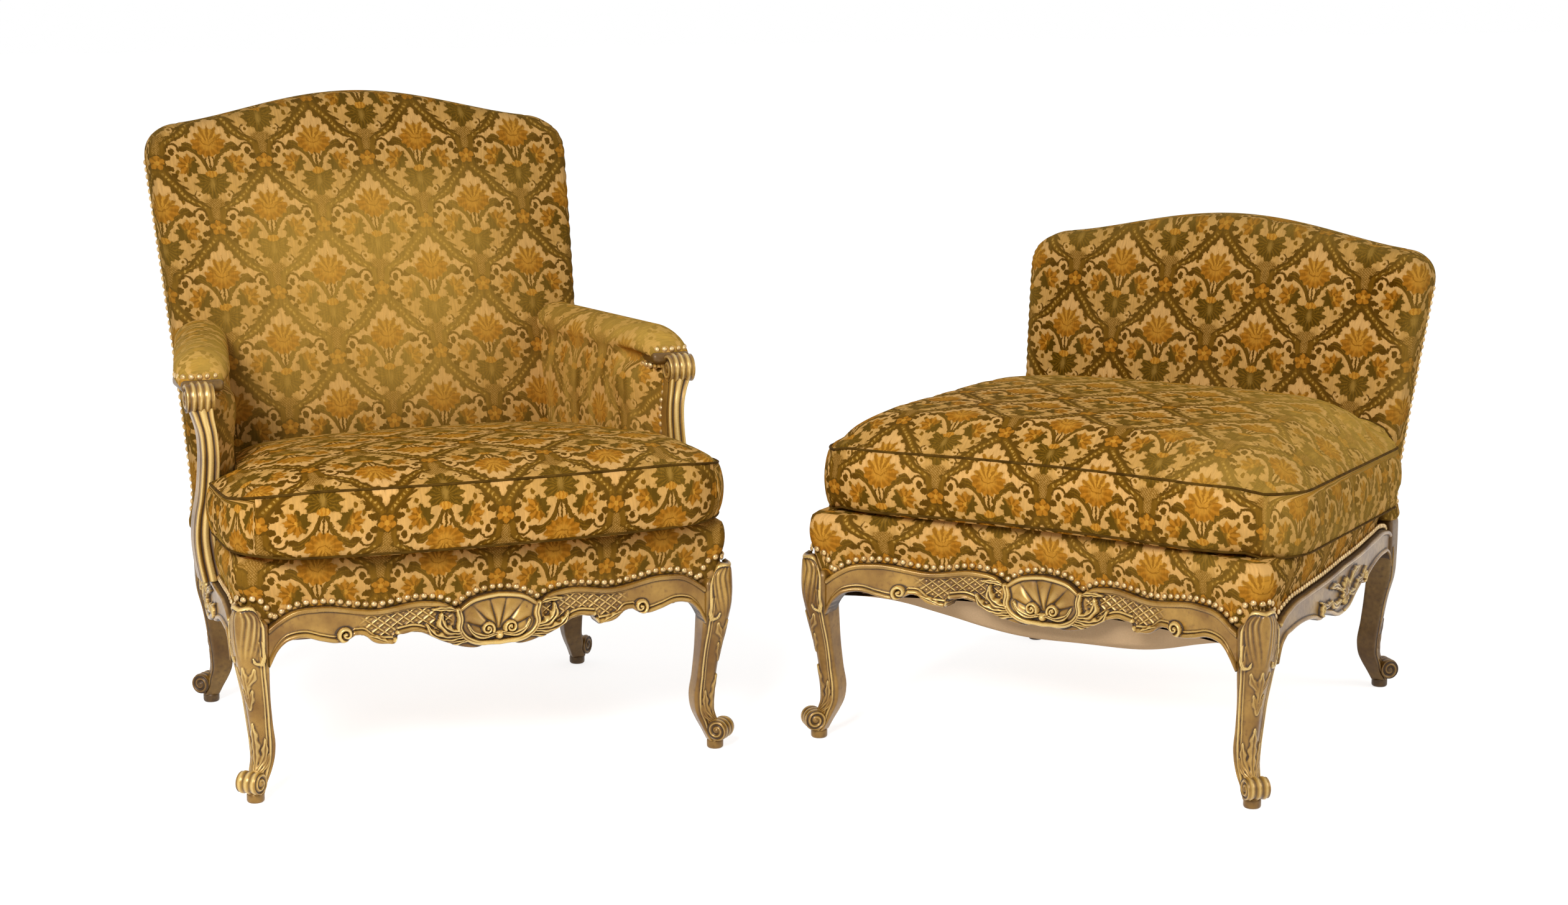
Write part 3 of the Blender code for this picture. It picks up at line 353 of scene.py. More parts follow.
# %% Velvet: one cell of the repeat
REPEAT_WIDE = 0.180
REPEAT_HIGH = 0.232
BAND = [(0.5, 0.5), (0.54, 0.456), (0.58, 0.440), (0.625, 0.432), (0.652, 0.408), (0.680, 0.350),
        (0.705, 0.290), (0.755, 0.220), (0.81, 0.166), (0.865, 0.098), (0.92, 0.042), (1.0, 0.0)]
LOWER_BAND = [(y - 0.5, 0.5 - x) for y, x in BAND[:-1]]
SOFT = 0.0014
TURN = 2 * math.pi
GROUND = srgb(218, 168, 100)


class Cell:
    def __init__(self, tree, u, v):
        self.tree, self.colour, self.raised = tree, GROUND, None
        wide, high = u / REPEAT_WIDE, v / REPEAT_HIGH
        first_x, first_y = (wide + 0.5).part() - 0.5, high.part()
        second_x, second_y = wide.part() - 0.5, (high + 0.5).part()
        limit = first_y.curve(LOWER_BAND + BAND)
        other = (first_x.size() - limit).above(0.0, 1e-4)
        self.x = (first_x + (second_x - first_x) * other) * REPEAT_WIDE
        self.share = first_y + (second_y - first_y) * other
        self.y = self.share * REPEAT_HIGH
        self.across = self.x.size()
        half = limit + (0.5 - limit * 2.0) * other
        self.to_band = (half * REPEAT_WIDE - self.across) * 0.76
        row_a, row_b = (high + 0.5).part() - 0.5, first_y - 0.5
        far_a = (first_x * REPEAT_WIDE).length(row_a * REPEAT_HIGH)
        far_b = (second_x * REPEAT_WIDE).length(row_b * REPEAT_HIGH)
        near_a = (far_b - far_a).above(0.0, 1e-4)
        rose_x = second_x + (first_x - second_x) * near_a
        rose_y = row_b + (row_a - row_b) * near_a
        self.rose = far_a.least(far_b)
        self.rose_turn = rose_x.angle(rose_y * (REPEAT_HIGH / REPEAT_WIDE))

    def paint(self, amount, colour, over=None, share=None):
        if over:
            colour = tint(self.tree, share, colour, over)
        self.colour = tint(self.tree, amount, self.colour, colour)

    def lift(self, mask):
        self.raised = self.raised.most(mask) if self.raised else mask
        return mask

    def away(self, at_x, at_y, wide_by=1.0, high_by=1.0):
        far_x = (self.across - at_x * REPEAT_WIDE) / wide_by
        return far_x.length((self.y - at_y * REPEAT_HIGH) / high_by)

    def petals(self, at_y, outline, count, depth):
        down = self.y - at_y * REPEAT_HIGH
        turn = self.across.angle(down) / math.pi
        ripple = (turn * (math.pi * count)).wave() * depth
        far = self.across.length(down)
        return far - turn.curve(outline) * 0.06 - ripple, turn, far


# %% [markdown]
# The shapes come first: each is a distance that is negative inside. The ground then gets a
# painted shadow, a little darker near every shape, where the raised pile would throw one.

# %% Velvet: shapes and ground
DEEP = srgb(192, 145, 74)
PAINTED_PILE_SHADOW = srgb(150, 104, 30)
HOOK_STEP = REPEAT_HIGH / 17
ASTER = 0.0172
FAN = [(0, 0.16), (0.18, 0.24), (0.30, 0.42), (0.38, 0.47), (0.46, 0.38), (0.55, 0.49), (0.64, 0.38),
       (0.74, 0.47), (0.84, 0.38), (0.92, 0.44), (1, 0.52)]
CROWN = [(0, 0.62), (0.070, 0.42), (0.14, 0.55), (0.22, 0.38), (0.30, 0.48), (0.40, 0.36), (0.5, 0.38),
         (0.6, 0.2), (1, 0.1)]
CUP = [(0, 0.05), (0.3, 0.12), (0.40, 0.38), (0.5, 0.48), (0.62, 0.45), (0.74, 0.42), (0.87, 0.40), (1, 0.40)]
BODY = [(0, 0.80), (0.1, 0.48), (0.2, 0.40), (0.30, 0.66), (0.40, 0.90), (0.56, 0.92), (0.68, 1.00),
        (0.80, 1.10), (1, 0.80)]


def lay_ground(cell):
    cell.fan, cell.fan_turn, cell.fan_far = cell.petals(0.350, FAN, 19, 0.0018)
    cell.crown, cell.crown_turn, _ = cell.petals(0.640, CROWN, 1, 0.0)
    cell.cup, cell.cup_turn, cell.cup_far = cell.petals(0.652, CUP, 13, 0.0018)
    cell.side_x, cell.side_y = cell.across - 0.212 * REPEAT_WIDE, cell.y - 0.478 * REPEAT_HIGH
    cell.aster, turn = cell.side_x.length(cell.side_y), cell.side_x.angle(cell.side_y)
    cell.jag = (turn * 8.0).wave()
    cell.aster_edge = cell.aster - cell.jag * 0.0024 - (turn * 19.0).wave() * 0.0009
    cell.step = (cell.share * 2.0).part()
    hook = ((cell.y + cell.to_band * 0.9) * (TURN / HOOK_STEP)).wave().above(0.1, 1.1)
    hook = hook * (cell.step - 0.56).size().below(0.24, 0.10)
    cell.band_edge = cell.to_band - hook * 0.0046 - cell.step.curve(BODY) * 0.0088
    near = cell.fan.least(cell.aster_edge - ASTER).least(cell.crown).least(cell.cup).least(cell.band_edge)
    cell.paint(cell.share.below(0.50, 0.4) * 0.8, DEEP)
    # Painted shadow of the raised pile round every shape.
    cell.paint(near.below(0.0014, 0.0042) * 0.55, PAINTED_PILE_SHADOW)


# %% [markdown]
# The bouquet grows from a hatched foot and a fan of acanthus leaves. Two stems with long leaves
# lean out of it, each with a flower like an aster, and one large flower stands in the middle: a
# crown of upright petals over a cup.

# %% Velvet: the bouquet
PALE = srgb(212, 164, 96)
OLIVE = srgb(114, 75, 8)
DARK = srgb(82, 50, 0)
LEAF = srgb(122, 84, 14)
FERN = srgb(78, 52, 0)
GOLD = srgb(198, 138, 46)
ORANGE = srgb(176, 112, 26)
BROWN = srgb(130, 77, 2)
BEAD = srgb(192, 148, 68)
HATCH_STEP = 0.0044
STALK_STEP = 0.0070
SPINE = [(0, 0.41), (0.03, 0.455), (0.067, 0.525), (0.125, 0.582), (0.20, 0.624), (0.26, 0.628), (1, 0.6)]
THICK = [(0, 0.030), (0.05, 0.036), (0.12, 0.026), (0.19, 0.032), (0.235, 0.024), (0.268, 0.0), (1, 0.0)]
BUDS = ((0.205, 0.700, 0.0030), (0.318, 0.425, 0.0034), (0.250, 0.372, 0.0034), (0.300, 0.545, 0.0030))


def draw_foot(cell):
    lines = [(way * (TURN / HATCH_STEP)).wave() for way in (cell.x + cell.y, cell.x - cell.y)]
    hatch = lines[0].most(lines[1]).above(0.45, 0.7)
    foot = cell.share.below(0.225, 0.02) * cell.away(0, 0.10, 0.023, 0.034).below(1.0, 0.2)
    cell.paint(foot * (hatch * 0.50 + 0.40), OLIVE)
    veins = (cell.fan_turn * (math.pi * 19)).wave().above(0.3, 1.0)
    veins = veins * (cell.fan_far * 90.0).wave().above(-0.6, 1.5)
    cell.paint(cell.lift(cell.fan.below(0.0, SOFT)), FERN, LEAF, veins * 0.8)
    cell.paint(cell.away(0, 0.335, 0.0055, 0.012).below(0.8, 0.8) * 0.40, BEAD)
    curl = cell.away(0.140, 0.250)
    cell.paint(curl.below(0.0086, 0.0012) * cell.across.above(0.150 * REPEAT_WIDE, 0.004), DARK)
    cell.paint(curl.below(0.0062, SOFT), PALE)
    cell.paint(curl.below(0.0026, SOFT), OLIVE)


def draw_leaves(cell):
    rise = cell.across / REPEAT_WIDE
    stem = (cell.share - rise.curve(SPINE)).size()
    leaf = (rise.curve(THICK) - stem).above(0.0, 0.006) * rise.below(0.268, 0.004)
    cell.paint(cell.lift(leaf), DARK, LEAF, (stem * 300.0).wave().above(0.4, 1.0) * 0.7)
    cell.paint(cell.away(0.246, 0.604, 0.0070, 0.0054).below(1.0, 0.25), DARK)
    stalks = (cell.x * (TURN / STALK_STEP)).wave().above(0.15, 0.6)
    cell.paint(stalks * cell.away(0, 0.50, 0.0090, 0.018).below(1.0, 0.15), DARK)
    for bud_x, bud_y, bud in BUDS:
        cell.paint(cell.away(bud_x, bud_y, bud, bud * 1.4).below(1.0, 0.3), OLIVE)


def draw_flowers(cell):
    rays = tint(cell.tree, cell.jag.above(-0.1, 1.2), BROWN, ORANGE)
    shaded = (cell.side_x * 0.9 + cell.side_y * 0.45).below(-0.0030, 0.005)
    cell.paint(cell.lift(cell.aster_edge.below(ASTER, 0.0012)), rays, FERN, shaded)
    cell.paint(cell.aster.below(0.0046, 0.001), GOLD, OLIVE, cell.side_x.below(0.0, 0.002))
    calyx = cell.away(0, 0.412, 0.0098, 0.0060).below(1.0, 0.18)
    cell.paint(calyx, ORANGE, GOLD, (cell.x * 1100.0).wave().above(0.0, 1.2))
    lines = (cell.crown_turn * (math.pi * 13.5)).wave().above(0.0, 1.2)
    cell.paint(cell.crown.below(0.0, SOFT), GOLD, BROWN, lines * 0.75)
    lines = (cell.cup_turn * (math.pi * 13)).wave().below(0.25, 1.0)
    cup = cell.cup.below(0.0, SOFT)
    cell.paint(cup, ORANGE, BROWN, lines * 0.65)
    cell.paint(cup * cell.cup_far.below(0.0135, 0.006) * 0.7, GOLD)
    smile = (cell.away(0, 0.672, 0.0110, 0.0085) - 1.0).size().below(0.09, 0.12)
    cell.paint(smile * cell.share.below(0.672, 0.01) * 0.8, BROWN)


# %% [markdown]
# The lattice has dark bands with small hooks and a string of beads down the middle. Scrolls lead
# from it to the rosettes, which cover the crossings and so are drawn last.

# %% Velvet: lattice and rosettes
BEAD_STEP = REPEAT_HIGH / 42
SCROLLS = ((0.354, 0.584, 0.0050, 0.0066), (0.400, 0.540, 0.0062, 0.0054), (0.404, 0.458, 0.0064, 0.0054),
           (0.352, 0.398, 0.0056, 0.0050), (0.366, 0.452, 0.0034, 0.0042))


def draw_lattice(cell):
    core = cell.to_band.below(0.0036, 0.002) * 0.8
    cell.paint(cell.lift(cell.band_edge.below(0.0, SOFT)), DARK, OLIVE, core)
    lean = cell.y + cell.to_band * (cell.share.above(0.5, 1e-4) * 1.54 - 0.77)
    bead = ((lean / BEAD_STEP).part() - 0.5) * (BEAD_STEP * 1.55)
    bead = bead.length(cell.to_band).below(0.0020, 0.0012) * (cell.step - 0.56).size().below(0.27, 0.04)
    cell.paint(bead * 0.85, BEAD)
    hook = cell.away(0.348, 0.598)
    cell.paint(hook.below(0.0126, SOFT) * cell.share.above(0.585, 0.01), DARK)
    cell.paint(hook.below(0.0086, SOFT), GROUND)
    for scroll in SCROLLS:
        cell.paint(cell.away(*scroll).below(1.0, 0.2), DARK)


def draw_rosettes(cell):
    petal = (cell.rose_turn * 5.0).wave()
    cell.paint(cell.rose.below(0.0152, 0.0016), DARK)
    rim = cell.lift((cell.rose - petal * 0.0016).below(0.0122, 0.0012))
    cell.paint(rim, ORANGE, BROWN, petal.below(-0.5, 0.8))
    cell.paint(cell.rose.below(0.0040, 0.001), GOLD)


# %% [markdown]
# Old velvet is never one colour. The pile leans in streaks, and where people sat and leaned it is
# rubbed down to a pale nap. Each cover carries a value for that rubbing, which also paints a pale
# sheen on rolled edges and far sides. Another value paints shade on the backs, darker away from
# the light. A fine noise ruffles the edges of the pattern.

# %% Velvet: the cloth
PALE_NAP_AND_SHEEN = srgb(186, 147, 66)


def velvet_cloth(name, fade, fade_scale):
    material, tree, shader = new_material(name)
    uv = tree.nodes.new("ShaderNodeUVMap")
    uv.uv_map = "cloth"
    place = uv.outputs[0]
    split = tree.nodes.new("ShaderNodeSeparateXYZ")
    tree.links.new(place, split.inputs[0])
    u, v = Field(tree, split.outputs[0]), Field(tree, split.outputs[1])
    wobble = noise(tree, place, 9.0, 1.0) - 0.5
    pile = (noise(tree, place, 190.0, 2.0) - 0.5) * 0.007
    cell = Cell(tree, u + wobble * 0.010 + pile, v + wobble * 0.007 - pile)
    for draw in (lay_ground, draw_foot, draw_leaves, draw_flowers, draw_lattice, draw_rosettes):
        draw(cell)
    stretch = tree.nodes.new("ShaderNodeMapping")
    stretch.inputs["Scale"].default_value = (9.0, 1.0, 1.0)
    tree.links.new(place, stretch.inputs["Vector"])
    streak = noise(tree, stretch.outputs[0], 38.0, 3.0)
    worn = noise(tree, place, fade_scale, 3.0).above(0.62, 0.5) * fade + reading(tree, "worn")
    # Paler nap: rubbing, and painted sheen on rolled edges and far sides.
    colour = tint(tree, (worn * (cell.raised * 0.25 + 0.75)).least(0.9), cell.colour, PALE_NAP_AND_SHEEN)
    light = tree.nodes.new("ShaderNodeHueSaturation")
    tree.links.new(colour, light.inputs["Color"])
    # Painted shade: the value falls where the backs are marked darker.
    tree.links.new((streak * 0.6 + 0.74 - reading(tree, "dim")).socket, light.inputs["Value"])
    tree.links.new(light.outputs[0], shader.inputs["Base Color"])
    shader.inputs["Roughness"].default_value = 0.75
    shader.inputs["Specular IOR Level"].default_value = 0.02
    shader.inputs["Sheen Weight"].default_value = 0.22
    shader.inputs["Sheen Roughness"].default_value = 0.24
    shader.inputs["Sheen Tint"].default_value = (*srgb(176, 152, 40), 1.0)
    bump = tree.nodes.new("ShaderNodeBump")
    bump.inputs["Strength"].default_value = 0.35
    bump.inputs["Distance"].default_value = 0.0012
    fine = noise(tree, place, 900.0, 1.0)
    tree.links.new((cell.raised + fine * 0.5).socket, bump.inputs["Height"])
    tree.links.new(bump.outputs[0], shader.inputs["Normal"])
    return material


velvet = velvet_cloth("velvet", 0.16, 5.0)
print("velvet", len(velvet.node_tree.nodes), "nodes")

# %% [markdown]
# Gold leaf on carved wood is never even. It is brown in the hollows where dust and old size gather,
# and rubbed through to the red clay under it where hands touch. The ridges carry a painted highlight.
# Every carved piece carries a value named hollow, from -1 on a ridge to 1 in a hollow, and the gold
# reads it. Pieces that stand away from the light have painted shade added to that value.

# %% Gold leaf, brass, linen and plain wood
def object_noise(tree, scale, detail):
    return noise(tree, tree.nodes.new("ShaderNodeTexCoord").outputs["Object"], scale, detail)


gilt, tree, shader = new_material("gilt")
patch = object_noise(tree, 16.0, 4.0)
grain = object_noise(tree, 140.0, 3.0)
relief_and_painted_shade = reading(tree, "hollow")
deep = relief_and_painted_shade.most(0.0)
gold = tint(tree, patch.above(0.5, 0.35), srgb(184, 141, 64), srgb(126, 86, 24))
gold = tint(tree, grain.above(0.66, 0.12) * 0.45, gold, srgb(124, 80, 38))
# Painted highlight on the ridges.
gold = tint(tree, relief_and_painted_shade.below(-0.28, 0.5) * 0.7, gold, srgb(242, 208, 130))
# Dark brown in the hollows is patina; the painted shade that a piece carries adds to it.
gold = tint(tree, (deep + (grain - 0.5) * 0.3).above(0.34, 0.6) * 0.95, gold, srgb(50, 29, 4))
tree.links.new(gold, shader.inputs["Base Color"])
tree.links.new((0.28 - deep * 0.22).socket, shader.inputs["Metallic"])
tree.links.new((deep * 0.3 + grain * 0.16 + 0.20).socket, shader.inputs["Roughness"])

brass, tree, shader = new_material("brass")
spots = object_noise(tree, 90.0, 2.0)
metal = tint(tree, spots.above(0.55, 0.3), srgb(224, 190, 132), srgb(186, 146, 86))
tree.links.new(metal, shader.inputs["Base Color"])
shader.inputs["Metallic"].default_value = 0.5
shader.inputs["Roughness"].default_value = 0.26

linen, tree, shader = new_material("linen")
weave = object_noise(tree, 420.0, 2.0)
stain = object_noise(tree, 7.0, 3.0)
flax = tint(tree, stain.above(0.5, 0.5), srgb(222, 188, 148), srgb(204, 168, 126))
flax = tint(tree, weave.above(0.5, 0.4) * 0.25, flax, srgb(176, 148, 108))
tree.links.new(flax, shader.inputs["Base Color"])
shader.inputs["Roughness"].default_value = 0.9
shader.inputs["Specular IOR Level"].default_value = 0.1

beech, tree, shader = new_material("beech")
ring = object_noise(tree, 30.0, 4.0)
tree.links.new(tint(tree, ring, srgb(150, 108, 66), srgb(112, 74, 42)), shader.inputs["Base Color"])
shader.inputs["Roughness"].default_value = 0.7

finishes = {"giltwood": gilt, "frame_wood": beech, "velvet": velvet, "linen": linen}
for row in frame["record"]["subparts"]:
    skins = frame["nodes"][row["node"]].data.materials
    skins.clear()
    skins.append(finishes[row["material_slot"]])
print("materials on", len(frame["nodes"]), "nodes")

# %% [markdown]
# Carving is drawn as strokes. A stroke is a line on the face of a rail with a width and a
# height: a bead is a rounded ridge along it, a leaf swells and narrows with a vein down the
# middle. The face is a dense grid, and each stroke lifts the corners of the grid near its line.

# %% Carving strokes
class Carving:
    def __init__(self, along, up):
        self.along, self.up, self.height = along, up, np.zeros_like(along)

    def reach(self, path, width):
        low, high = path.min(axis=0) - width, path.max(axis=0) + width
        near = (self.along > low[0]) & (self.along < high[0]) & (self.up > low[1]) & (self.up < high[1])
        spots = np.column_stack((self.along[near], self.up[near]))
        best, share = np.full(len(spots), 9.0), np.zeros(len(spots))
        for k in range(len(path) - 1):
            step = path[k + 1] - path[k]
            t = np.clip(((spots - path[k]) @ step) / (step @ step), 0, 1)
            away = np.hypot(*(spots - path[k] - t[:, None] * step).T)
            closer = away < best
            best[closer] = away[closer]
            share[closer] = (k + t[closer]) / (len(path) - 1)
        return near, best, share

    def lift_to(self, near, lift):
        here = self.height[near]
        self.height[near] = np.where(lift > 0, np.maximum(here, lift), here)

    def bead(self, points, width, height, taper=0.0, steps=40):
        near, away, share = self.reach(sweep(points, steps), width)
        here = width * (1 - taper * share)
        lift = height * (1 - 0.5 * taper * share) * np.sqrt(np.clip(1 - (away / here) ** 2, 0, None))
        self.lift_to(near, lift)

    def leaf(self, points, width, height, lobes=0):
        near, away, share = self.reach(sweep(points), width * 1.3)
        here = width * np.sin(np.pi * np.clip(0.1 + 0.9 * share, 0, 1)) ** 0.6
        here = here * (1 + 0.2 * np.cos(2 * np.pi * lobes * share))
        part = away / np.maximum(here, 1e-5)
        lift = height * np.sqrt(np.clip(1 - part**2, 0, None)) * (1 - 0.4 * np.exp(-((part / 0.2) ** 2)))
        self.lift_to(near, lift)

    def groove(self, points, width, depth):
        near, away, share = self.reach(sweep(points), width * 2.5)
        self.height[near] -= depth * np.sqrt(1 - share) * np.exp(-((away / width) ** 2))

    def ball(self, at, radius, height):
        away = np.hypot(self.along - at[0], self.up - at[1]) / radius
        self.lift_to(away < 1, height * np.sqrt(1 - away[away < 1] ** 2))

    def curl(self, at, outer, inner, start, turns, width, height):
        t = np.linspace(0, 1, 60)
        far, turn = outer + (inner - outer) * t, start + turns * 2 * np.pi * t
        path = np.column_stack((at[0] + far * np.cos(turn), at[1] + far * np.sin(turn)))
        near, away, share = self.reach(path, width)
        here = width * (1 - 0.45 * share)
        lift = height * np.sqrt(np.clip(1 - (away / here) ** 2, 0, None))
        self.lift_to(near, lift)
        self.ball(at, inner * 1.1, height)


def hollows(height, steps=10, scale=0.0014):
    soft = height.copy()
    for _ in range(steps):
        wide = np.pad(soft, 1, mode="edge")
        soft = (wide[:-2, 1:-1] + wide[2:, 1:-1] + wide[1:-1, :-2] + wide[1:-1, 2:] + 2 * soft) / 6
    return np.clip((soft - height) / scale, -1, 1)


# %% [markdown]
# The front rail is the show piece of each seat. Its top and bottom edges wave, a fluted shell
# sits in the middle between two scrolls, leaves run out from it over a trellis, and the ends
# stay plain. First come its lines, drawn for the right half: the left half mirrors them.

# %% Front rails: the drawing
RAIL_END = 1.036
APRON_HALF = 0.3362
SHELL_END = 0.19
APRON_TOP = [[(0, 0), (0.06, 0.002), (0.13, 0.008), (SHELL_END, 0.022)],
             [(SHELL_END, 0.022), (0.25, 0.011), (0.33, 0.006), (0.56, 0.013), (0.82, 0.003), (0.93, 0.008),
              (1, 0.022), (RAIL_END, 0.031)]]
APRON_BOTTOM = [[(0, 0.084), (0.055, 0.082), (0.10, 0.086), (0.155, 0.084), (0.255, 0.071), (0.39, 0.052),
                 (0.463, 0.055)],
                [(0.463, 0.055), (0.485, 0.069)],
                [(0.485, 0.069), (0.58, 0.062), (0.61, 0.053), (0.657, 0.051)],
                [(0.657, 0.051), (0.685, 0.057), (0.73, 0.061), (0.80, 0.057), (0.875, 0.0500),
                 (0.925, 0.0512), (0.965, 0.0565), (1.0, 0.0690), (RAIL_END, 0.092)]]
TOP_INSET = -0.0042
ARCH_INSET = -0.0040
LOW_INSET = 0.0036
MESH = 0.0195
MESH_SLANT = 1.38
SHELL_ROOT = 0.240
FRAME_LINE = [(0.064, 0.281), (0.0605, 0.266), (0.0625, 0.252), (0.055, 0.239), (0.042, 0.230),
              (0.022, 0.2255), (0.0, 0.2245)]
FRAME_GROOVE = [(0.063, 0.280), (0.0600, 0.266), (0.062, 0.252), (0.055, 0.239), (0.042, 0.2305),
                (0.022, 0.226)]
APRON_LEAVES = [([(0.004, 0.240), (0.024, 0.236), (0.042, 0.244), (0.050, 0.258)], 0.0052, 0.0098, 2),
                ([(0.062, 0.246), (0.078, 0.249), (0.090, 0.262), (0.089, 0.279)], 0.0074, 0.0105, 3),
                ([(0.058, 0.239), (0.082, 0.238), (0.104, 0.247), (0.113, 0.263)], 0.0068, 0.0096, 4),
                ([(0.050, 0.2325), (0.078, 0.2295), (0.108, 0.2375), (0.136, 0.2485)], 0.0056, 0.0086, 5),
                ([(0.064, 0.279), (0.074, 0.283), (0.088, 0.2845), (0.104, 0.2840)], 0.0046, 0.0078, 3),
                ([(0.1575, 0.243), (0.142, 0.2505), (0.127, 0.2535), (0.110, 0.2515)], 0.0044, 0.0068, 4),
                ([(0.166, 0.2375), (0.180, 0.2425), (0.197, 0.2495), (0.212, 0.2535)], 0.0042, 0.0066, 4)]


print(len(APRON_LEAVES), "leaves on each half of a front rail")

# %% [markdown]
# A carver works from the edges inward: beads along both edges, then the trellis as a sunk ground
# with crossing wires, then the shell, and last the scrolls and leaves that lie over everything.

# %% Front rails: the carving
def edge_line(parts, start, end, count, half, shift):
    shares = np.linspace(start, end, count)
    return np.column_stack((shares * half, RAIL_TOP - edge(parts, shares) + shift))


def carve_trellis(cut, top, low):
    x, z = cut.along, cut.up
    first, second = (x + z * MESH_SLANT) / MESH, (x - z * MESH_SLANT) / MESH
    lines = np.minimum(np.abs(first - np.rint(first)), np.abs(second - np.rint(second))) * 0.0115
    dots = np.hypot(first - np.floor(first) - 0.5, second - np.floor(second) - 0.5) * 0.0138
    field = np.clip((x - 0.07) / 0.006, 0, 1) * np.clip((0.216 - x) / 0.02, 0, 1)
    field = field * np.clip((top - 0.0105 - z) / 0.0015, 0, 1) * np.clip((z - low - 0.010) / 0.0015, 0, 1)
    wires = 0.0024 * np.exp(-((lines / 0.0014) ** 2)) + 0.0012 * np.exp(-((dots / 0.0016) ** 2))
    cut.height = np.where(cut.height > 0.0008, cut.height, field * (wires - 0.0030))


def carve_shell(cut, top):
    x, z = cut.along, cut.up
    rim = np.clip(1.06 - np.maximum((z - (top - 0.009)) / 0.004, (x - 0.057) / 0.004), 0, 1)
    rim = rim * np.clip((z - 0.244 + 0.25 * x) / 0.004, 0, 1)
    bowl = -0.002 + 0.0085 * np.sin(np.clip(np.hypot(x, z - SHELL_ROOT) / 0.058, 0, 1) * 2.5)
    ribs = np.abs(np.cos(np.arctan2(x, z - SHELL_ROOT) * 6.5))
    cut.height = np.where(rim > 0, bowl * (0.25 + 0.75 * ribs**0.8) * rim, cut.height)


def carve_apron(along, up):
    cut = Carving(np.abs(along), up)
    share = np.minimum(cut.along / APRON_HALF, RAIL_END)
    top, low = RAIL_TOP - edge(APRON_TOP, share), RAIL_TOP - edge(APRON_BOTTOM, share)
    cut.bead(edge_line(APRON_TOP, SHELL_END, RAIL_END, 90, APRON_HALF, TOP_INSET), 0.0046, 0.0048, steps=140)
    cut.bead(edge_line(APRON_TOP, 0, SHELL_END, 30, APRON_HALF, ARCH_INSET), 0.0045, 0.0075)
    for start, end in ((0.27, 0.463), (0.49, 0.657), (0.66, RAIL_END)):
        line = edge_line(APRON_BOTTOM, start, end, 50, APRON_HALF, LOW_INSET)
        cut.bead(line, 0.0042, 0.0056, steps=80)
        cut.bead(line + (0, 0.0070), 0.0018, 0.0024, steps=80)
    carve_trellis(cut, top, low)
    carve_shell(cut, top)
    cut.bead(edge_line(APRON_TOP, 0, SHELL_END, 30, APRON_HALF, TOP_INSET), 0.0045, 0.0085)
    cut.bead(FRAME_LINE, 0.0056, 0.0105, 0.2)
    cut.groove(FRAME_GROOVE, 0.0012, 0.0030)
    for points, width, height, lobes in APRON_LEAVES:
        cut.leaf(points, width, height, lobes)
    cut.curl((0.0185, 0.2480), 0.0098, 0.0028, 3.6, -1.35, 0.0034, 0.0125)
    cut.curl((0.2345, 0.2560), 0.0118, 0.0030, 4.6, 1.25, 0.0042, 0.0098)
    cut.ball((0.0, 0.2365), 0.0068, 0.0130)
    cut.ball((0.1585, 0.2405), 0.0064, 0.0092)
    return cut.height


# %% [markdown]
# A rail could be an extruded outline, but its carved face needs many corners and its back only a
# few. So one grid is rolled round the rail: most of its rows lie on the front face, and the last
# five go over the lip, down the rebate for the cover, down the back and under to the start.

# %% Rails from a rolled grid
def carved_rail(name, half, longer, top_line, low_line, carve, columns, rows, place, shade):
    piece, column, row = flat_grid(name, columns, rows + 5)
    share = np.linspace(-1 - longer / half, 1 + longer / half, columns + 1)
    top = RAIL_TOP - edge(top_line, np.minimum(np.abs(share), RAIL_END))
    low = RAIL_TOP - edge(low_line, np.minimum(np.abs(share), RAIL_END))
    up = low + (top - low) * np.linspace(0, 1, rows + 1)[:, None]
    height = carve(np.broadcast_to(share * half, up.shape), up)
    rounding = 0.003 * np.clip(1 - np.minimum(top - up, up - low) / 0.0025, 0, 1) ** 2
    face = height - rounding
    level = np.ones(columns + 1)
    out = np.vstack((face, -LIP * level, -LIP * level, -RAIL_THICK * level, -RAIL_THICK * level, face[:1]))
    # Relief for the gold: painted highlight on ridges, patina in hollows, and painted shade by the shade
    # amount.
    dark = np.vstack((hollows(height) * (1 - shade) + shade, np.full((5, columns + 1), 0.7)))
    up = np.vstack((up, top, REBATE * level, REBATE * level, low, up[:1]))
    move_points(piece, *place((share * half)[column], out[row, column], up[row, column]))
    note(piece, "hollow", dark[row, column])
    weld(piece, fill=True)
    return piece


for seat in (chair, stool):
    def on_front(along, out, up):
        return along, seat.front_face(along) - out, up

    # Front rails get a little painted shade.
    rail = carved_rail(f"{seat.name}_front_rail_carved", APRON_HALF, 0.012, APRON_TOP, APRON_BOTTOM,
                       carve_apron, columns=620, rows=76, place=on_front, shade=0.07)
    settle(rail, seat, seat.name, "giltwood", gilt, f"{seat.name}_front_rail")

# %% [markdown]
# The side rails follow the same plan with a quieter ornament: an oval flower in the middle of
# the drop, with leaves to both sides. Left and right are one carving, mirrored.

# %% Side rails
SIDE_TOP = [[(0, 0.004), (0.30, 0.0055), (0.62, 0.005), (0.86, 0.008), (1, 0.022), (RAIL_END, 0.031)]]
SIDE_BOTTOM = [[(0, 0.086), (0.10, 0.083), (0.22, 0.070), (0.34, 0.060)],
               [(0.34, 0.060), (0.40, 0.066), (0.48, 0.058), (0.62, 0.050), (0.85, 0.049), (0.94, 0.0530),
                (1, 0.0670), (RAIL_END, 0.090)]]
SIDE_DRAWN = 0.259
SIDE_LEAVES = [([(0.022, 0.246), (0.045, 0.244), (0.066, 0.258)], 0.0062, 0.0078, 3),
               ([(0.020, 0.264), (0.042, 0.276), (0.068, 0.279)], 0.0056, 0.0074, 3),
               ([(0.060, 0.256), (0.082, 0.254), (0.108, 0.268)], 0.0050, 0.0066, 4)]
FLOWER = np.array((0.004, 0.256))
FLOWER_SIZE = 0.023


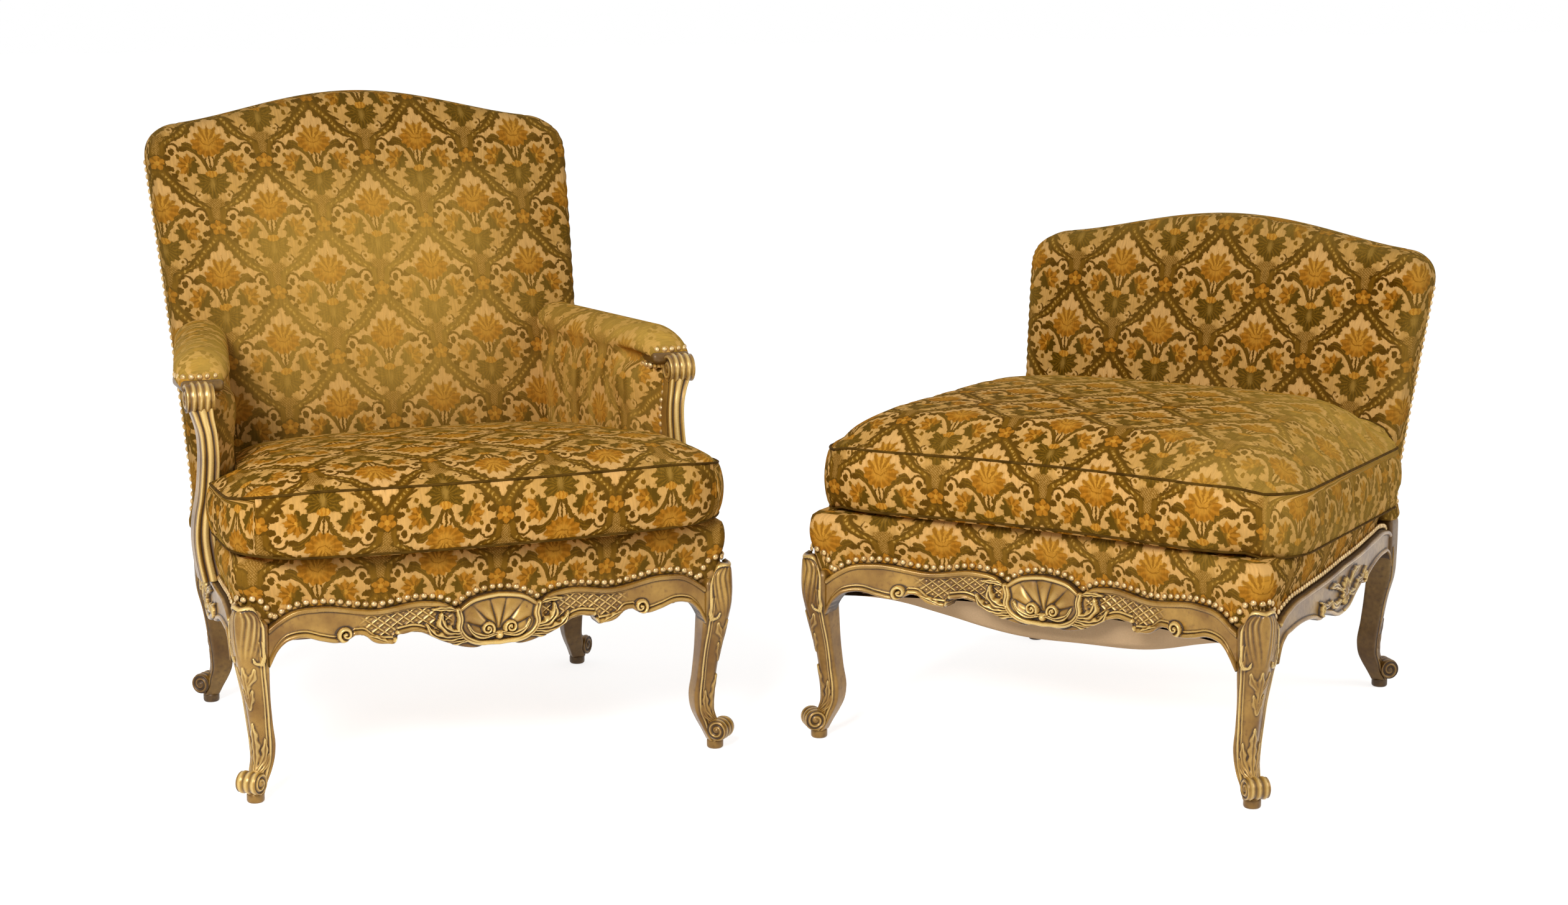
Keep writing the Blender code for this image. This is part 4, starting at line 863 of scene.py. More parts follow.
def side_carver(half):
    fit = np.array((half / SIDE_DRAWN, 1.0))

    def carve(along, up):
        cut = Carving(np.abs(along), up)
        cut.bead(edge_line(SIDE_TOP, 0, 1, 120, half, TOP_INSET), 0.0046, 0.0048, steps=120)
        for start, end in ((0.02, 0.34), (0.345, RAIL_END)):
            cut.bead(edge_line(SIDE_BOTTOM, start, end, 60, half, LOW_INSET), 0.0038, 0.0046, steps=80)
        cut.ball((0.0, FLOWER[1]), 0.0105, 0.0095)
        for turn in np.linspace(-1.4, 1.4, 6):
            tip = np.array((math.cos(turn) * FLOWER_SIZE, FLOWER[1] + math.sin(turn) * FLOWER_SIZE))
            cut.leaf([FLOWER, (tip + FLOWER) / 2, tip], 0.0052, 0.0085)
        for points, width, height, lobes in SIDE_LEAVES:
            cut.leaf(np.array(points) * fit, width, height, lobes)
        cut.curl(np.array((0.100, 0.2535)) * fit, 0.0098, 0.0024, 4.5, 1.4, 0.0030, 0.0078)
        return cut.height
    return carve


for seat in (chair, stool):
    half = seat.side_half - 0.0003
    for word, side in (("left", -1), ("right", 1)):
        def on_side(along, out, up):
            y = seat.side_middle + along
            return side * (seat.side_face(y) + out), y, up

        # Side rails get more painted shade, as they turn away from the light.
        rail = carved_rail(f"{seat.name}_side_rail_{word}_carved", half, 0.010, SIDE_TOP, SIDE_BOTTOM,
                           side_carver(half), columns=int(half * 2 / 0.0013), rows=64,
                           place=on_side, shade=0.22)
        settle(rail, seat, seat.name, "giltwood", gilt, f"{seat.name}_side_rail_{word}")

# %% [markdown]
# A cabriole leg leans out at the knee, in at the ankle and out again at the toe. Double fillets
# run down its inner edges, leaves climb from the toe, and the knee of a front leg carries a fan.
# The carving is drawn on the leg unrolled: distance round the leg from its outer corner, and height.

# %% Legs: the carving
LEG = [(0.058, 0.0, 0.024), (0.125, -0.0095, 0.024), (0.19, -0.016, 0.029), (0.25, -0.022, 0.031),
       (0.34, -0.024, 0.034), (0.50, -0.0185, 0.0345), (0.68, -0.0120, 0.0370), (0.84, -0.0055, 0.0435)]
KNEE = 0.24
TOE = 0.0168
TOE_WIDE = 0.035
TOE_OUT = 0.010
TOE_HEIGHT = 0.0328
FOOT_LEAVES = [([(0.0, 0.050), (0.0, 0.080), (0.0, 0.124)], 0.0062, 0.0036, 4),
               ([(0.003, 0.048), (0.010, 0.066), (0.0135, 0.098)], 0.0050, 0.0032, 3),
               ([(0.006, 0.044), (0.013, 0.054), (0.0175, 0.074)], 0.0042, 0.0028, 2)]
KNEE_LEAVES = [([(0.0345, 0.246), (0.0340, 0.229), (0.0275, 0.219), (0.0190, 0.2205), (0.0165, 0.229)],
                0.0042, 0.0034, 2),
               ([(0.0, 0.166), (0.0, 0.188), (0.0, 0.216)], 0.0058, 0.0026, 3),
               ([(0.002, 0.184), (0.010, 0.196), (0.0155, 0.213)], 0.0048, 0.0024, 2),
               ([(0.0, 0.146), (0.003, 0.160), (0.0075, 0.178)], 0.0040, 0.0022, 2)]
KNEE_FAN = np.array([(0.018, 0.002, 0.3035), (0.030, 0.004, 0.291), (0.034, 0.002, 0.268),
                     (0.030, 0.0, 0.246), (0.018, 0.0, 0.222)])
KNEE_EDGE = [(0.0370, 0.228), (0.0378, 0.262), (0.0352, 0.284), (0.0290, 0.298), (0.0200, 0.3055),
             (0.0100, 0.3065), (0.0, 0.3045)]


def carve_leg(around, up, front):
    cut = Carving(np.abs(around), up)
    inner = np.interp(up, (0.02, 0.06, 0.15, 0.2, 0.24), (0.016, 0.021, 0.028, 0.032, 0.037))
    for offset, width, height in ((0.0022, 0.0026, 0.0024), (0.0078, 0.0015, 0.0015)):
        away = np.abs(cut.along - inner + offset) / width
        cut.height = np.maximum(cut.height, height * np.sqrt(np.clip(1 - away**2, 0, None)) * (up < 0.255))
    for points, width, height, lobes in FOOT_LEAVES:
        cut.leaf(points, width, height, lobes)
    if not front:
        return cut.height
    for s in (0.20, 0.45, 0.70, 0.93):
        cut.groove(np.column_stack((KNEE_FAN[:, 0] * s + KNEE_FAN[:, 1], KNEE_FAN[:, 2])), 0.0021, 0.0019)
    cut.bead(KNEE_EDGE, 0.0028, 0.0020)
    for points, width, height, lobes in KNEE_LEAVES:
        cut.leaf(points, width, height, lobes)
    return cut.height


# %% [markdown]
# The leg ends in a scroll, like a rolled ribbon seen from its end. It is a short drum whose two
# faces carry a spiral. Grid rows run from the middle of one face out, over the rim and back in.

# %% Scrolls
def scroll_toe(name, centre, axis, radius, width, turns=2.2, reeds=3, shade=0.0, relief=0.06):
    steps = 14
    piece, column, row = flat_grid(name, 72, 3 * steps)
    part = np.concatenate((np.linspace(0, 1, steps + 1), np.ones(steps - 1), np.linspace(1, 0, steps + 1)))
    place = np.concatenate((-np.ones(steps + 1), np.linspace(-1, 1, steps + 1)[1:-1], np.ones(steps + 1)))
    angle = column / 72 * 2 * np.pi
    far, across = part[row], place[row]
    face = np.abs(across) > 0.999
    spiral = np.cos(2 * np.pi * turns * far - np.sign(across) * angle) * np.clip((far - 0.2) * 6, 0, 1)
    eye = 0.003 * np.clip(1 - (far / 0.3) ** 2, 0, None)
    lift = 0.0016 * spiral * np.clip((1 - far) * 8, 0, 1) + eye
    reach = radius * far * np.where(face, 1, 1 + relief * np.cos(across * np.pi * reeds))
    reach = reach * np.where(np.abs(across) > 0.85, 0.97, 1)
    axis = Vector(axis).normalized()
    side = axis.cross(Vector((0, 0, 1)))
    along = across * (width / 2) + np.sign(across) * lift * face
    ring = [reach * np.cos(angle) * side[k] + reach * np.sin(angle) * (0, 0, 1)[k] for k in range(3)]
    move_points(piece, *(centre[k] + along * axis[k] + ring[k] for k in range(3)))
    # Spiral grooves darken as patina, reed crests get the painted highlight, and shade adds painted shade.
    dark = np.where(face, 0.15 - 0.6 * spiral, -0.05 - 0.55 * np.cos(across * np.pi * reeds))
    note(piece, "hollow", dark * (1 - shade) + shade)
    weld(piece)
    return piece


# %% [markdown]
# The leg itself is a tube of rounded squares, each with its own size and place on the diagonal.
# The outer corner is rounder than the others. Turning a square bar would not give that, so each
# corner of the grid is placed by its angle. The scroll and a small turned pad are joined on.

# %% Legs
def cabriole(name, seat, side, end):
    front = end < 0
    foot = (side * (seat.front_foot if front else seat.rear_foot), seat.front if front else seat.rear)
    out_turn = math.atan2(end, side)
    block = BLOCK if front else REAR_BLOCK
    columns, rows = (128, 230) if front else (96, 190)
    piece, column, row = flat_grid(name, columns, rows + 3)
    turn = np.linspace(-np.pi, np.pi, columns + 1)
    heights = np.append([s[0] * KNEE for s in LEG], (KNEE, 0.31))
    offset = np.append([s[1] for s in LEG], (0.0007, 0.0007) if front else (-0.0071, -0.0071))
    sides = np.append([s[2] for s in LEG], (0.050, 0.050) if front else (block, block))
    facing = turn + out_turn
    inward = np.clip(np.maximum(-np.cos(facing) * side, -np.sin(facing) * end) * 0.9 + 0.5, 0, 1)
    dome = 0.3115 - 0.003 * np.clip(1 - inward / 0.4, 0, 1)
    dome = dome - 0.026 * np.clip((inward - 0.5) / 0.5, 0, 1) ** 1.6
    crown = dome if front else np.full_like(dome, 0.305)
    level = heights[0] + np.linspace(0, 1, rows + 1)[:, None] * (crown - heights[0])
    wide = through(np.column_stack((heights, sides)), level)
    away = through(np.column_stack((heights, offset)), level) / math.sqrt(2)
    sharp = 9 - 6.2 * np.clip(np.cos(turn), 0, 1) ** 1.5
    radius = wide / 2 * (np.abs(np.cos(facing)) ** sharp + np.abs(np.sin(facing)) ** sharp) ** (-1 / sharp)
    height = carve_leg(turn * radius * 0.92, level, front)
    near_top = np.clip(1 - (crown - level) / 0.011, 0, 1)
    radius = radius + height - (0.0065 if front else 0.003) * near_top**2
    # Painted shade: legs away from the key light are darker. The rear legs are darkest, partly from painted
    # shade and partly from less gold on them.
    shade = (0.0 if seat is chair and side < 0 else 0.11) if front else 0.42
    dark = hollows(height) * (1 - shade) + shade
    radius = np.vstack((radius, radius[-1] * np.array([[0.72], [0.70], [0.0]])))
    level = np.vstack((level, level[-1:] - 0.002, np.full((2, columns + 1), REBATE if front else 0.300)))
    away = np.vstack((away, np.repeat(away[-1:], 3, axis=0)))
    dark = np.vstack((dark, np.full((3, columns + 1), 0.6)))
    x = foot[0] + side * away + radius * np.cos(facing)
    y = foot[1] + end * away + radius * np.sin(facing)
    move_points(piece, x[row, column], y[row, column], level[row, column])
    note(piece, "hollow", dark[row, column])
    weld(piece, fill=True)
    out = TOE_OUT / math.sqrt(2)
    centre = (foot[0] + side * out, foot[1] + end * out, TOE_HEIGHT)
    toe = scroll_toe(name + "_toe", centre, (side, -end, 0), TOE, TOE_WIDE, shade=shade)
    bpy.ops.mesh.primitive_cylinder_add(vertices=40, radius=0.0135, depth=0.016, location=(*foot, 0.008))
    pad = bpy.context.object
    soften = pad.modifiers.new("soften", "BEVEL")
    soften.width, soften.segments = 0.004, 3
    bpy.ops.object.modifier_apply(modifier="soften")
    bpy.ops.object.transform_apply(location=True)
    note(pad, "hollow", 0.15 + shade)
    return join(piece, toe, pad)


for seat in (chair, stool):
    for word, side in (("left", -1), ("right", 1)):
        for end, leg_name, node in ((-1, "front_leg", "front_leg"), (1, "rear_leg", "rear_post")):
            leg = cabriole(f"{seat.name}_{leg_name}_{word}_carved", seat, side, end)
            settle(leg, seat, seat.name, "giltwood", gilt, f"{seat.name}_{node}_{word}")

# %% [markdown]
# A stuffed cover is a panel with a wall round it. One grid makes both: its inner squares are the
# panel, and the rows and columns past its border all sit on the border and only go deeper. A
# second grid closes the far side. The cloth coordinates run on over the edge, in metres.

# %% Panels with walls
def panel_grid(name, across, up, wall):
    piece, column, row = flat_grid(name, across + 2 * wall, up + 2 * wall)
    inner_c, inner_r = np.clip(column - wall, 0, across), np.clip(row - wall, 0, up)
    over_c, over_r = column - wall - inner_c, row - wall - inner_r
    depth = np.maximum(np.abs(over_c), np.abs(over_r)) / max(wall, 1)
    return piece, 2 * inner_c / across - 1, inner_r / up, depth, np.sign(over_c), np.sign(over_r)


def round_corner(x, y, half, end, radius, toward):
    a, b = (np.abs(x) - half + radius) / radius, ((y - end) * toward + radius) / radius
    inside = (a > 0) & (b > 0)
    a, b = np.clip(a, 0, 1), np.clip(b, 0, 1)
    new_x = np.sign(x) * (half - radius + radius * a * np.sqrt(1 - b * b / 2))
    new_y = end + toward * (radius * b * np.sqrt(1 - a * a / 2) - radius)
    return np.where(inside, new_x, x), np.where(inside, new_y, y)


def lay_cloth(piece, panel, walls=None, depth=None):
    layer = piece.data.uv_layers.new(name="cloth")
    corner = np.empty(len(piece.data.loops), dtype=int)
    piece.data.loops.foreach_get("vertex_index", corner)
    u, v = panel[0][corner], panel[1][corner]
    if walls:
        starts = np.empty(len(piece.data.polygons), dtype=int)
        counts = np.empty(len(piece.data.polygons), dtype=int)
        piece.data.polygons.foreach_get("loop_start", starts)
        piece.data.polygons.foreach_get("loop_total", counts)
        on_wall = np.repeat(np.maximum.reduceat(depth[corner], starts) > 0, counts)
        u = np.where(on_wall, walls[0][corner], u)
        v = np.where(on_wall, walls[1][corner], v)
    layer.data.foreach_set("uv", np.column_stack((u, v)).ravel())


def rim_distance(x, y, outline):
    best = np.full(len(x), 9.0)
    for spot in outline:
        best = np.minimum(best, np.hypot(x - spot[0], y - spot[1]))
    return best


# %% [markdown]
# The inside back is a low dome of horsehair under velvet, rolled at its edge. It leans and curves
# with the frame, wraps the frame's edge and closes behind it. The pattern is set upright, with
# a rosette on the middle line. The pile is rubbed pale where a back leans on the bergere.

# %% Inside backs
BACK_LOW = 0.306
SWELL_LOW = 0.36
SWELL = 0.024
ROLL = 0.020
ROLL_DEEP = ROLL * 0.8
CORNER = 0.06


def back_plan(seat, low):
    def plan(u, v):
        z = low + (seat.back_top(u * seat.half_top) - low) * v
        corner_half = seat.back_half(np.full_like(z, seat.shoulder))
        return round_corner(u * seat.back_half(z), z, corner_half, seat.shoulder, CORNER, 1)
    return plan


def show_wear_sheen_and_shade(piece, seat, x, z, rolled):
    rubbed = np.exp(-(((x + 0.02) / 0.27) ** 4) - ((z - 0.68) / 0.22) ** 4)
    # Rolled edges turn pale from rubbing and from painted sheen. The backs get painted shade: on the chair
    # away from its rubbed middle, and on the stool all over.
    if seat is chair:
        note(piece, "worn", 0.07 + 0.50 * rubbed + 0.08 * rolled)
        note(piece, "dim", 0.25 * (1 - rubbed))
    else:
        note(piece, "worn", 0.06 * rubbed + 0.28 * rolled)
        note(piece, "dim", 0.15)


def stuffed_back(seat, name, lean_uv):
    across, up, wall = 150, 130, 10
    plan = back_plan(seat, BACK_LOW)
    line = np.linspace(-1, 1, 160)
    rim = np.vstack([np.column_stack(plan(line, np.full(160, e))) for e in (0.0, 1.0)]
                    + [np.column_stack(plan(np.full(160, e), (line + 1) / 2)) for e in (-1.0, 1.0)])
    piece, u, v, depth, over_c, over_r = panel_grid(name, across, up, wall)
    x, z = plan(u, v)
    close = rim_distance(x, z, rim)
    drop = ROLL_DEEP * (1 - np.sqrt(1 - np.clip(1 - close / ROLL, 0, 1) ** 2))
    rise = np.clip((z - SWELL_LOW) / (seat.back_top(x) - SWELL_LOW), 0, 1)
    middle = 1 - np.abs(u) ** 3
    swell = SWELL * middle * (1 - np.abs(2 * rise - 1) ** 3)
    ease = np.sin(7.1 * x + 2.0) * np.sin(9.3 * z + 1.0) * 0.0022 * middle
    face = seat.back_face(z)
    far = depth * (FRAME_BACK - ROLL_DEEP)
    y = np.where(depth > 0, face + ROLL_DEEP + far, face - swell + drop + ease)
    bulge = 0.003 * np.sin(np.pi * depth)
    x = x + over_c * bulge
    z = z + over_r * bulge
    move_points(piece, x, y, z)
    run = seat.slope_length(z) - lean_uv
    lay_cloth(piece, (x, run), (x + over_c * far, run + over_r * far), depth)
    show_wear_sheen_and_shade(piece, seat, x, z, np.where(depth > 0, 1.0, np.clip(1 - close / 0.045, 0, 1) ** 1.5))
    rear, u, v, *_ = panel_grid(name + "_rear", across, up, 0)
    x, z = plan(u, v)
    move_points(rear, x, seat.back_face(z) + FRAME_BACK, z)
    lay_cloth(rear, (-x, seat.slope_length(z)))
    note(rear, "worn", 0.0)
    join(piece, rear)
    weld(piece)
    return piece


for seat, rosette, half_drop in ((chair, 0.911, 0.0), (stool, 0.680, REPEAT_HIGH / 2)):
    back = stuffed_back(seat, f"{seat.name}_back_cover", seat.slope_length(rosette) - half_drop)
    settle(back, seat, seat.name, "velvet", velvet, f"{seat.name}_back_pad")

# %% [markdown]
# A thin flat cover goes over the outside of each back. Below it a strip of the same velvet is
# drawn down over the rear rail, where nails will hold it, so no slot is left above the rail.

# %% Outside backs
COVER_LOW = 0.312
COVER_FACE = 0.0802
COVER_INNER = 0.0748
COVER_WALL = 0.005


def tuck(seat, name):
    piece, column, row = flat_grid(name, 40, 14)
    rail = seat.rear + REAR_RAIL_FACE
    fold = sweep([(seat.root + 0.078, 0.318), (seat.root + 0.074, 0.302), (rail + 0.006, 0.276),
                  (rail + 0.0015, 0.262)], 7)
    fold = np.vstack((fold, fold[::-1] - (0.003, 0.0), fold[:1]))
    x = (column / 20 - 1) * (seat.rear_foot - 0.027)
    y, z = fold[row].T
    move_points(piece, x, y, z)
    lay_cloth(piece, (-x, seat.slope_length(z)))
    note(piece, "worn", 0.0)
    weld(piece, fill=True)
    return piece


def outside_cover(seat, name):
    across, up, wall = 60, 60, 3
    plan = back_plan(seat, COVER_LOW)
    piece, u, v, depth, over_c, over_r = panel_grid(name, across, up, wall)
    x, z = plan(u * 0.985, 0.006 + v * 0.985)
    y = seat.back_face(z) + COVER_FACE - (COVER_FACE - COVER_INNER) * depth
    swell = 0.003 * (1 - np.abs(u) ** 3) * (1 - np.abs(2 * v - 1) ** 3) - 0.002
    move_points(piece, x, np.where(depth > 0, y, y + swell), z)
    run, far = seat.slope_length(z), COVER_WALL * depth
    lay_cloth(piece, (-x, run), (-x - over_c * far, run + over_r * far), depth)
    note(piece, "worn", 0.0)
    rear, u, v, *_ = panel_grid(name + "_inner", across, up, 0)
    x, z = plan(u * 0.985, 0.006 + v * 0.985)
    move_points(rear, x, seat.back_face(z) + COVER_INNER, z)
    lay_cloth(rear, (x, z))
    note(rear, "worn", 0.0)
    join(piece, rear, tuck(seat, name + "_tuck"))
    weld(piece)
    return piece


for seat in (chair, stool):
    cover = outside_cover(seat, f"{seat.name}_outside_cover")
    settle(cover, seat, seat.name, "velvet", velvet, f"{seat.name}_outside_back")

# %% [markdown]
# The stuffed seat under each cushion is a shallow box of hair on webbing. Its velvet band shows
# between the gilt rail and the cushion. Its top is hidden until a cushion is lifted.

# %% Seat decks
DECK_TOP = 0.3765
DECK_LOW = 0.2746
DECK_INSET = 0.0143
BAND_LOW = 0.317
BAND_HIGH = 0.3785
ARM_FRONT = -0.070
ARM_TOE_IN = 0.180


def arm_inner(y):
    return 0.347 - ARM_TOE_IN * (y - ARM_FRONT)


def deck_plan(seat):
    start = seat.front - FRONT_OUT + DECK_INSET
    end = seat.root + 0.012

    def plan(u, v):
        y = start + (end - start) * v
        half = seat.side_face(y) - DECK_INSET
        if seat is chair:
            half = half + (arm_inner(y) + 0.008 - half) * np.clip((y + 0.105) / 0.02, 0, 1)
        else:
            half = half - 0.02 * np.clip((y - 0.28) / 0.04, 0, 1)
        x, y = round_corner(u * half, y, half, start, 0.018, -1)
        return x, y - seat.bow_at(x) * np.clip((start + 0.09 - y) / 0.09, 0, 1)
    return plan


def deck(seat, name, lift_v, shift_u):
    across, up, wall = 110, 80, 16
    plan = deck_plan(seat)
    piece, u, v, depth, over_c, over_r = panel_grid(name, across, up, wall)
    x, y = plan(u, v)
    z = DECK_TOP - (DECK_TOP - DECK_LOW) * depth
    over_rail = 0.0058 * np.clip((z - 0.278) / 0.006, 0, 1)
    band = np.sin(np.pi * np.clip((z - BAND_LOW) / (BAND_HIGH - BAND_LOW), 0, 1))
    round_in = 0.006 * np.clip((z - 0.3665) / 0.010, 0, 1) ** 2
    push = over_rail + 0.0085 * band**0.7 - round_in
    normal_x = over_c + np.where((over_c == 0) & (over_r < 0), u**5, 0)
    normal_y = np.minimum(over_r, 0)
    push = push / np.maximum(np.hypot(normal_x, normal_y), 1e-6)
    move_points(piece, x + normal_x * push, y + normal_y * push, z)
    around = np.where(over_c != 0, np.sign(u) * (np.abs(x) + (y - seat.front)), x)
    lay_cloth(piece, (x, y), (around + shift_u, z + lift_v), depth)
    note(piece, "worn", 0.12)
    base, u, v, *_ = panel_grid(name + "_base", across, up, 0)
    x, y = plan(u, v)
    move_points(base, x, y, np.full_like(x, DECK_LOW))
    lay_cloth(base, (x, y))
    note(base, "worn", 0.0)
    join(piece, base)
    weld(piece)
    return piece


for seat, lift_v, shift_u in ((chair, -0.325, 0.0), (stool, -0.418, -0.010)):
    seat_deck = deck(seat, f"{seat.name}_deck", lift_v, shift_u)
    settle(seat_deck, seat, seat.name, "velvet", velvet, f"{seat.name}_seat_deck")

# %% [markdown]
# A closed arm is one soft form: inside lining, a rounded pad on the arm rail and an outside
# panel. Its cross-section is a closed loop, tucked in under the pad on both sides, and carried
# as a tube from the arm support to the back. At the front the pad slopes down to the scroll.

# %% Arms
ARM_TOP = 0.653
RAIL_LEVEL = 0.603
LINING_FRONT = ((0.33, 0.385), (0.44, 0.381), (0.475, 0.372), (0.505, 0.3695), (0.527, 0.3705),
                (0.551, 0.376), (0.585, 0.383))
ARM_START = -0.057
ARM_END = 0.365
LINING_SHARE = 0.40
OUTSIDE_SHARE = 0.62


def arm_rail_x(y):
    return 0.388 - ARM_TOE_IN * (y - ARM_FRONT)


def lining_edge(z):
    return np.interp(z, *np.array(LINING_FRONT).T)


def arm_section(y, nose):
    inner, rail, foot = arm_inner(y), arm_rail_x(y), chair.side_face(y) - 0.008
    top = RAIL_LEVEL + (ARM_TOP - RAIL_LEVEL) * nose
    wide = 0.74 + 0.36 * nose
    groove = inner + 0.014 * min(max(1 - (y - 0.020) / 0.03, 0), 1)
    panel = rail + 0.012
    flare = foot - panel
    lining = [(inner + 0.004, 0.330), (inner - 0.003, 0.40), (inner - 0.005, 0.50), (inner - 0.002, 0.582),
              (groove, 0.594), (groove, 0.606), (rail - 0.0405 * wide, RAIL_LEVEL + 0.014 * nose)]
    shoulder, cheek = top - 0.005 * nose, RAIL_LEVEL + 0.028 * nose
    pad = [(-0.037, cheek), (-0.020, shoulder), (0, top), (0.020, shoulder), (0.037, cheek),
           (0.0405, RAIL_LEVEL + 0.010 * nose)]
    outside = [(rail + 0.030, 0.597), (rail + 0.018, 0.588), (panel + 0.22 * flare, 0.50),
               (panel + 0.62 * flare, 0.40), (foot, 0.306)]
    return lining + [(rail + x * wide, z) for x, z in pad] + outside


def arm_cover(name, side):
    across, up = 120, 90
    piece, column, row = flat_grid(name, across + 1, up)
    stations = ARM_START + np.linspace(0, 1, up + 1) ** 1.3 * (ARM_END - ARM_START)
    loops = []
    for y in stations:
        nose = math.sin(min((y + 0.058) / 0.066, 1) * math.pi / 2) ** 0.55
        section = sweep(arm_section(y, nose), across + 1)
        loops.append(np.vstack((section, section[:1])))
    loops = np.array(loops)
    girth = np.concatenate(([0], np.cumsum(np.hypot(*np.diff(loops[up // 2], axis=0).T))))
    x, z = loops[row, column].T
    y = stations[row]
    inside = column < across * LINING_SHARE
    lining = (inside | (column > across)) * np.clip((0.604 - z) / 0.012, 0, 1)
    pinch = np.clip(1 - (y - ARM_START) / 0.055, 0, 1) ** 2
    x = x + (lining_edge(z) - x) * pinch * lining
    move_points(piece, side * x, y, z)
    paths = np.zeros((up + 1, across + 2, 3))
    paths[row, column] = np.column_stack((x, y, z))
    steps = np.linalg.norm(np.diff(paths, axis=0), axis=2)
    run = ARM_END - np.vstack((np.cumsum(steps[::-1], axis=0)[::-1], np.zeros((1, across + 2))))
    v = np.where(column > across * OUTSIDE_SHARE, z, girth[column] + 0.33)
    lay_cloth(piece, (side * run[row, column], v))
    top = np.exp(-(((z - 0.64) / 0.03) ** 2))
    streaks = np.sin(150 * y + 2.2 * np.sin(21 * z)) * np.sin(67 * y - 9 * z + 1.0)
    rubbed = inside * np.clip((y + 0.05) / 0.06, 0, 1) * (0.22 + 0.30 * streaks) * (1 - top)
    # The crest of the arm turns paler: rubbing by hands, and a painted sheen along it.
    note(piece, "worn", 0.25 + 0.60 * top * np.clip(1.1 - y / 0.3, 0.4, 1) + rubbed)
    weld(piece, fill=True)
    layer = piece.data.uv_layers["cloth"].data
    for cap in (face for face in piece.data.polygons if len(face.vertices) > 4):
        for k in cap.loop_indices:
            at = piece.data.vertices[piece.data.loops[k].vertex_index].co
            layer[k].uv = (at.x, at.z)
    return piece


for word, side in (("left", -1), ("right", 1)):
    arm = arm_cover(f"bergere_arm_cover_{word}", side)
    settle(arm, chair, "bergere", "velvet", velvet, f"bergere_arm_top_pad_{word}",
           f"bergere_arm_lining_{word}", f"bergere_outside_arm_{word}", f"bergere_arm_rail_{word}")

# %% [markdown]
# The gilt arm support rises in an S from the side rail and ends in a reeded scroll under the hand.

# %% Arm supports
SUPPORT = [(0.2995, 0.386, 0.005, 0.0180, 0.027), (0.335, 0.392, 0.003, 0.0178, 0.023),
           (0.369, 0.3955, 0.001, 0.0166, 0.0225), (0.400, 0.394, -0.001, 0.0158, 0.0225),
           (0.433, 0.3885, -0.003, 0.0152, 0.022), (0.465, 0.3850, -0.003, 0.0150, 0.022),
           (0.510, 0.3830, -0.001, 0.0146, 0.0218), (0.532, 0.3845, 0.001, 0.0146, 0.0218),
           (0.555, 0.389, 0.003, 0.0160, 0.021), (0.575, 0.393, 0.003, 0.0188, 0.021),
           (0.592, 0.3945, 0.003, 0.0195, 0.021)]
MOULDINGS = ((0.0, 0.24, 0.0026), (0.42, 0.08, -0.0022), (0.66, 0.10, 0.0022), (1.0, 0.08, -0.0014))
SUPPORT_SHARP = 7.0
TONGUE = (0.066, 0.089, 0.0185)


def arm_support(name, side):
    columns, rows = 96, 220
    piece, column, row = flat_grid(name, columns, rows)
    lines = np.array(SUPPORT)
    level = np.linspace(lines[0, 0], lines[-1, 0], rows + 1)[:, None]
    turn = np.linspace(-np.pi, np.pi, columns + 1)[None, :]
    middle, back, wide, deep = (through(lines[:, (0, k)], level) for k in (1, 2, 3, 4))
    across, ahead = np.sin(turn), -np.cos(turn)
    size = (np.abs(across) ** SUPPORT_SHARP + np.abs(ahead) ** SUPPORT_SHARP) ** (-1 / SUPPORT_SHARP)
    mould = sum(lift * np.exp(-(((np.abs(turn) - at) / width) ** 2)) for at, width, lift in MOULDINGS)
    x = middle + across * (size * wide + mould)
    y = ARM_FRONT + back + ahead * (size * deep + mould)
    move_points(piece, side * x[row, column], y[row, column], level[row, 0])
    # 0.12 is painted shade. Raised mouldings get the painted highlight and grooves get patina.
    note(piece, "hollow", 0.12 + 0.88 * np.clip(-mould * 420, -1, 1)[0, column])
    weld(piece, fill=True)
    knob = scroll_toe(name + "_scroll", (side * 0.3945, -0.0735, 0.5875), (1, 0, 0), 0.0235, 0.042,
                      turns=2.0, reeds=4, relief=0.085)
    bpy.ops.object.select_all(action="DESELECT")
    bpy.ops.mesh.primitive_cube_add(size=1, location=(side * 0.3855, -0.0215, 0.6030), scale=TONGUE)
    tongue = bpy.context.object
    bpy.ops.object.transform_apply(location=True, rotation=False, scale=True)
    soften = tongue.modifiers.new("soften", "BEVEL")
    soften.width, soften.segments = 0.007, 4
    bpy.ops.object.modifier_apply(modifier="soften")
    note(tongue, "hollow", 0.42)
    return join(piece, knob, tongue)


for word, side in (("left", -1), ("right", 1)):
    support = arm_support(f"bergere_arm_support_{word}_carved", side)
    settle(support, chair, "bergere", "giltwood", gilt, f"bergere_arm_support_{word}")

# %% [markdown]
# The loose cushions are feather-filled, with a boxed edge and a thin piping at both seams. Each
# plan fits its seat: the bergere's is bowed in front and cut back beside the arms, the stool's is
# hollow in front. A second rule says how far the upper and the lower seam sag.

# %% Cushion plans
SEAM_TOP = 0.4839
SEAM_LOW = 0.3849
CUSHION_LOW = 0.3769


def chair_cushion_plan(u, v):
    start, end, widest = -0.344, 0.244, 0.392
    y = start + (end - start) * v
    t = np.clip((y + 0.128) / 0.036, 0, 1)
    half = widest + (arm_inner(y) - 0.006 - widest) * t * t * (3 - 2 * t)
    x, y = round_corner(u * half, y, half, start, 0.105, -1)
    x, y = round_corner(x, y, half, end, 0.030, 1)
    bow = 0.034 * (1 - np.minimum(np.abs(x) / widest, 1) ** 2) * np.clip((start + 0.09 - y) / 0.09, 0, 1)
    return x, y - bow


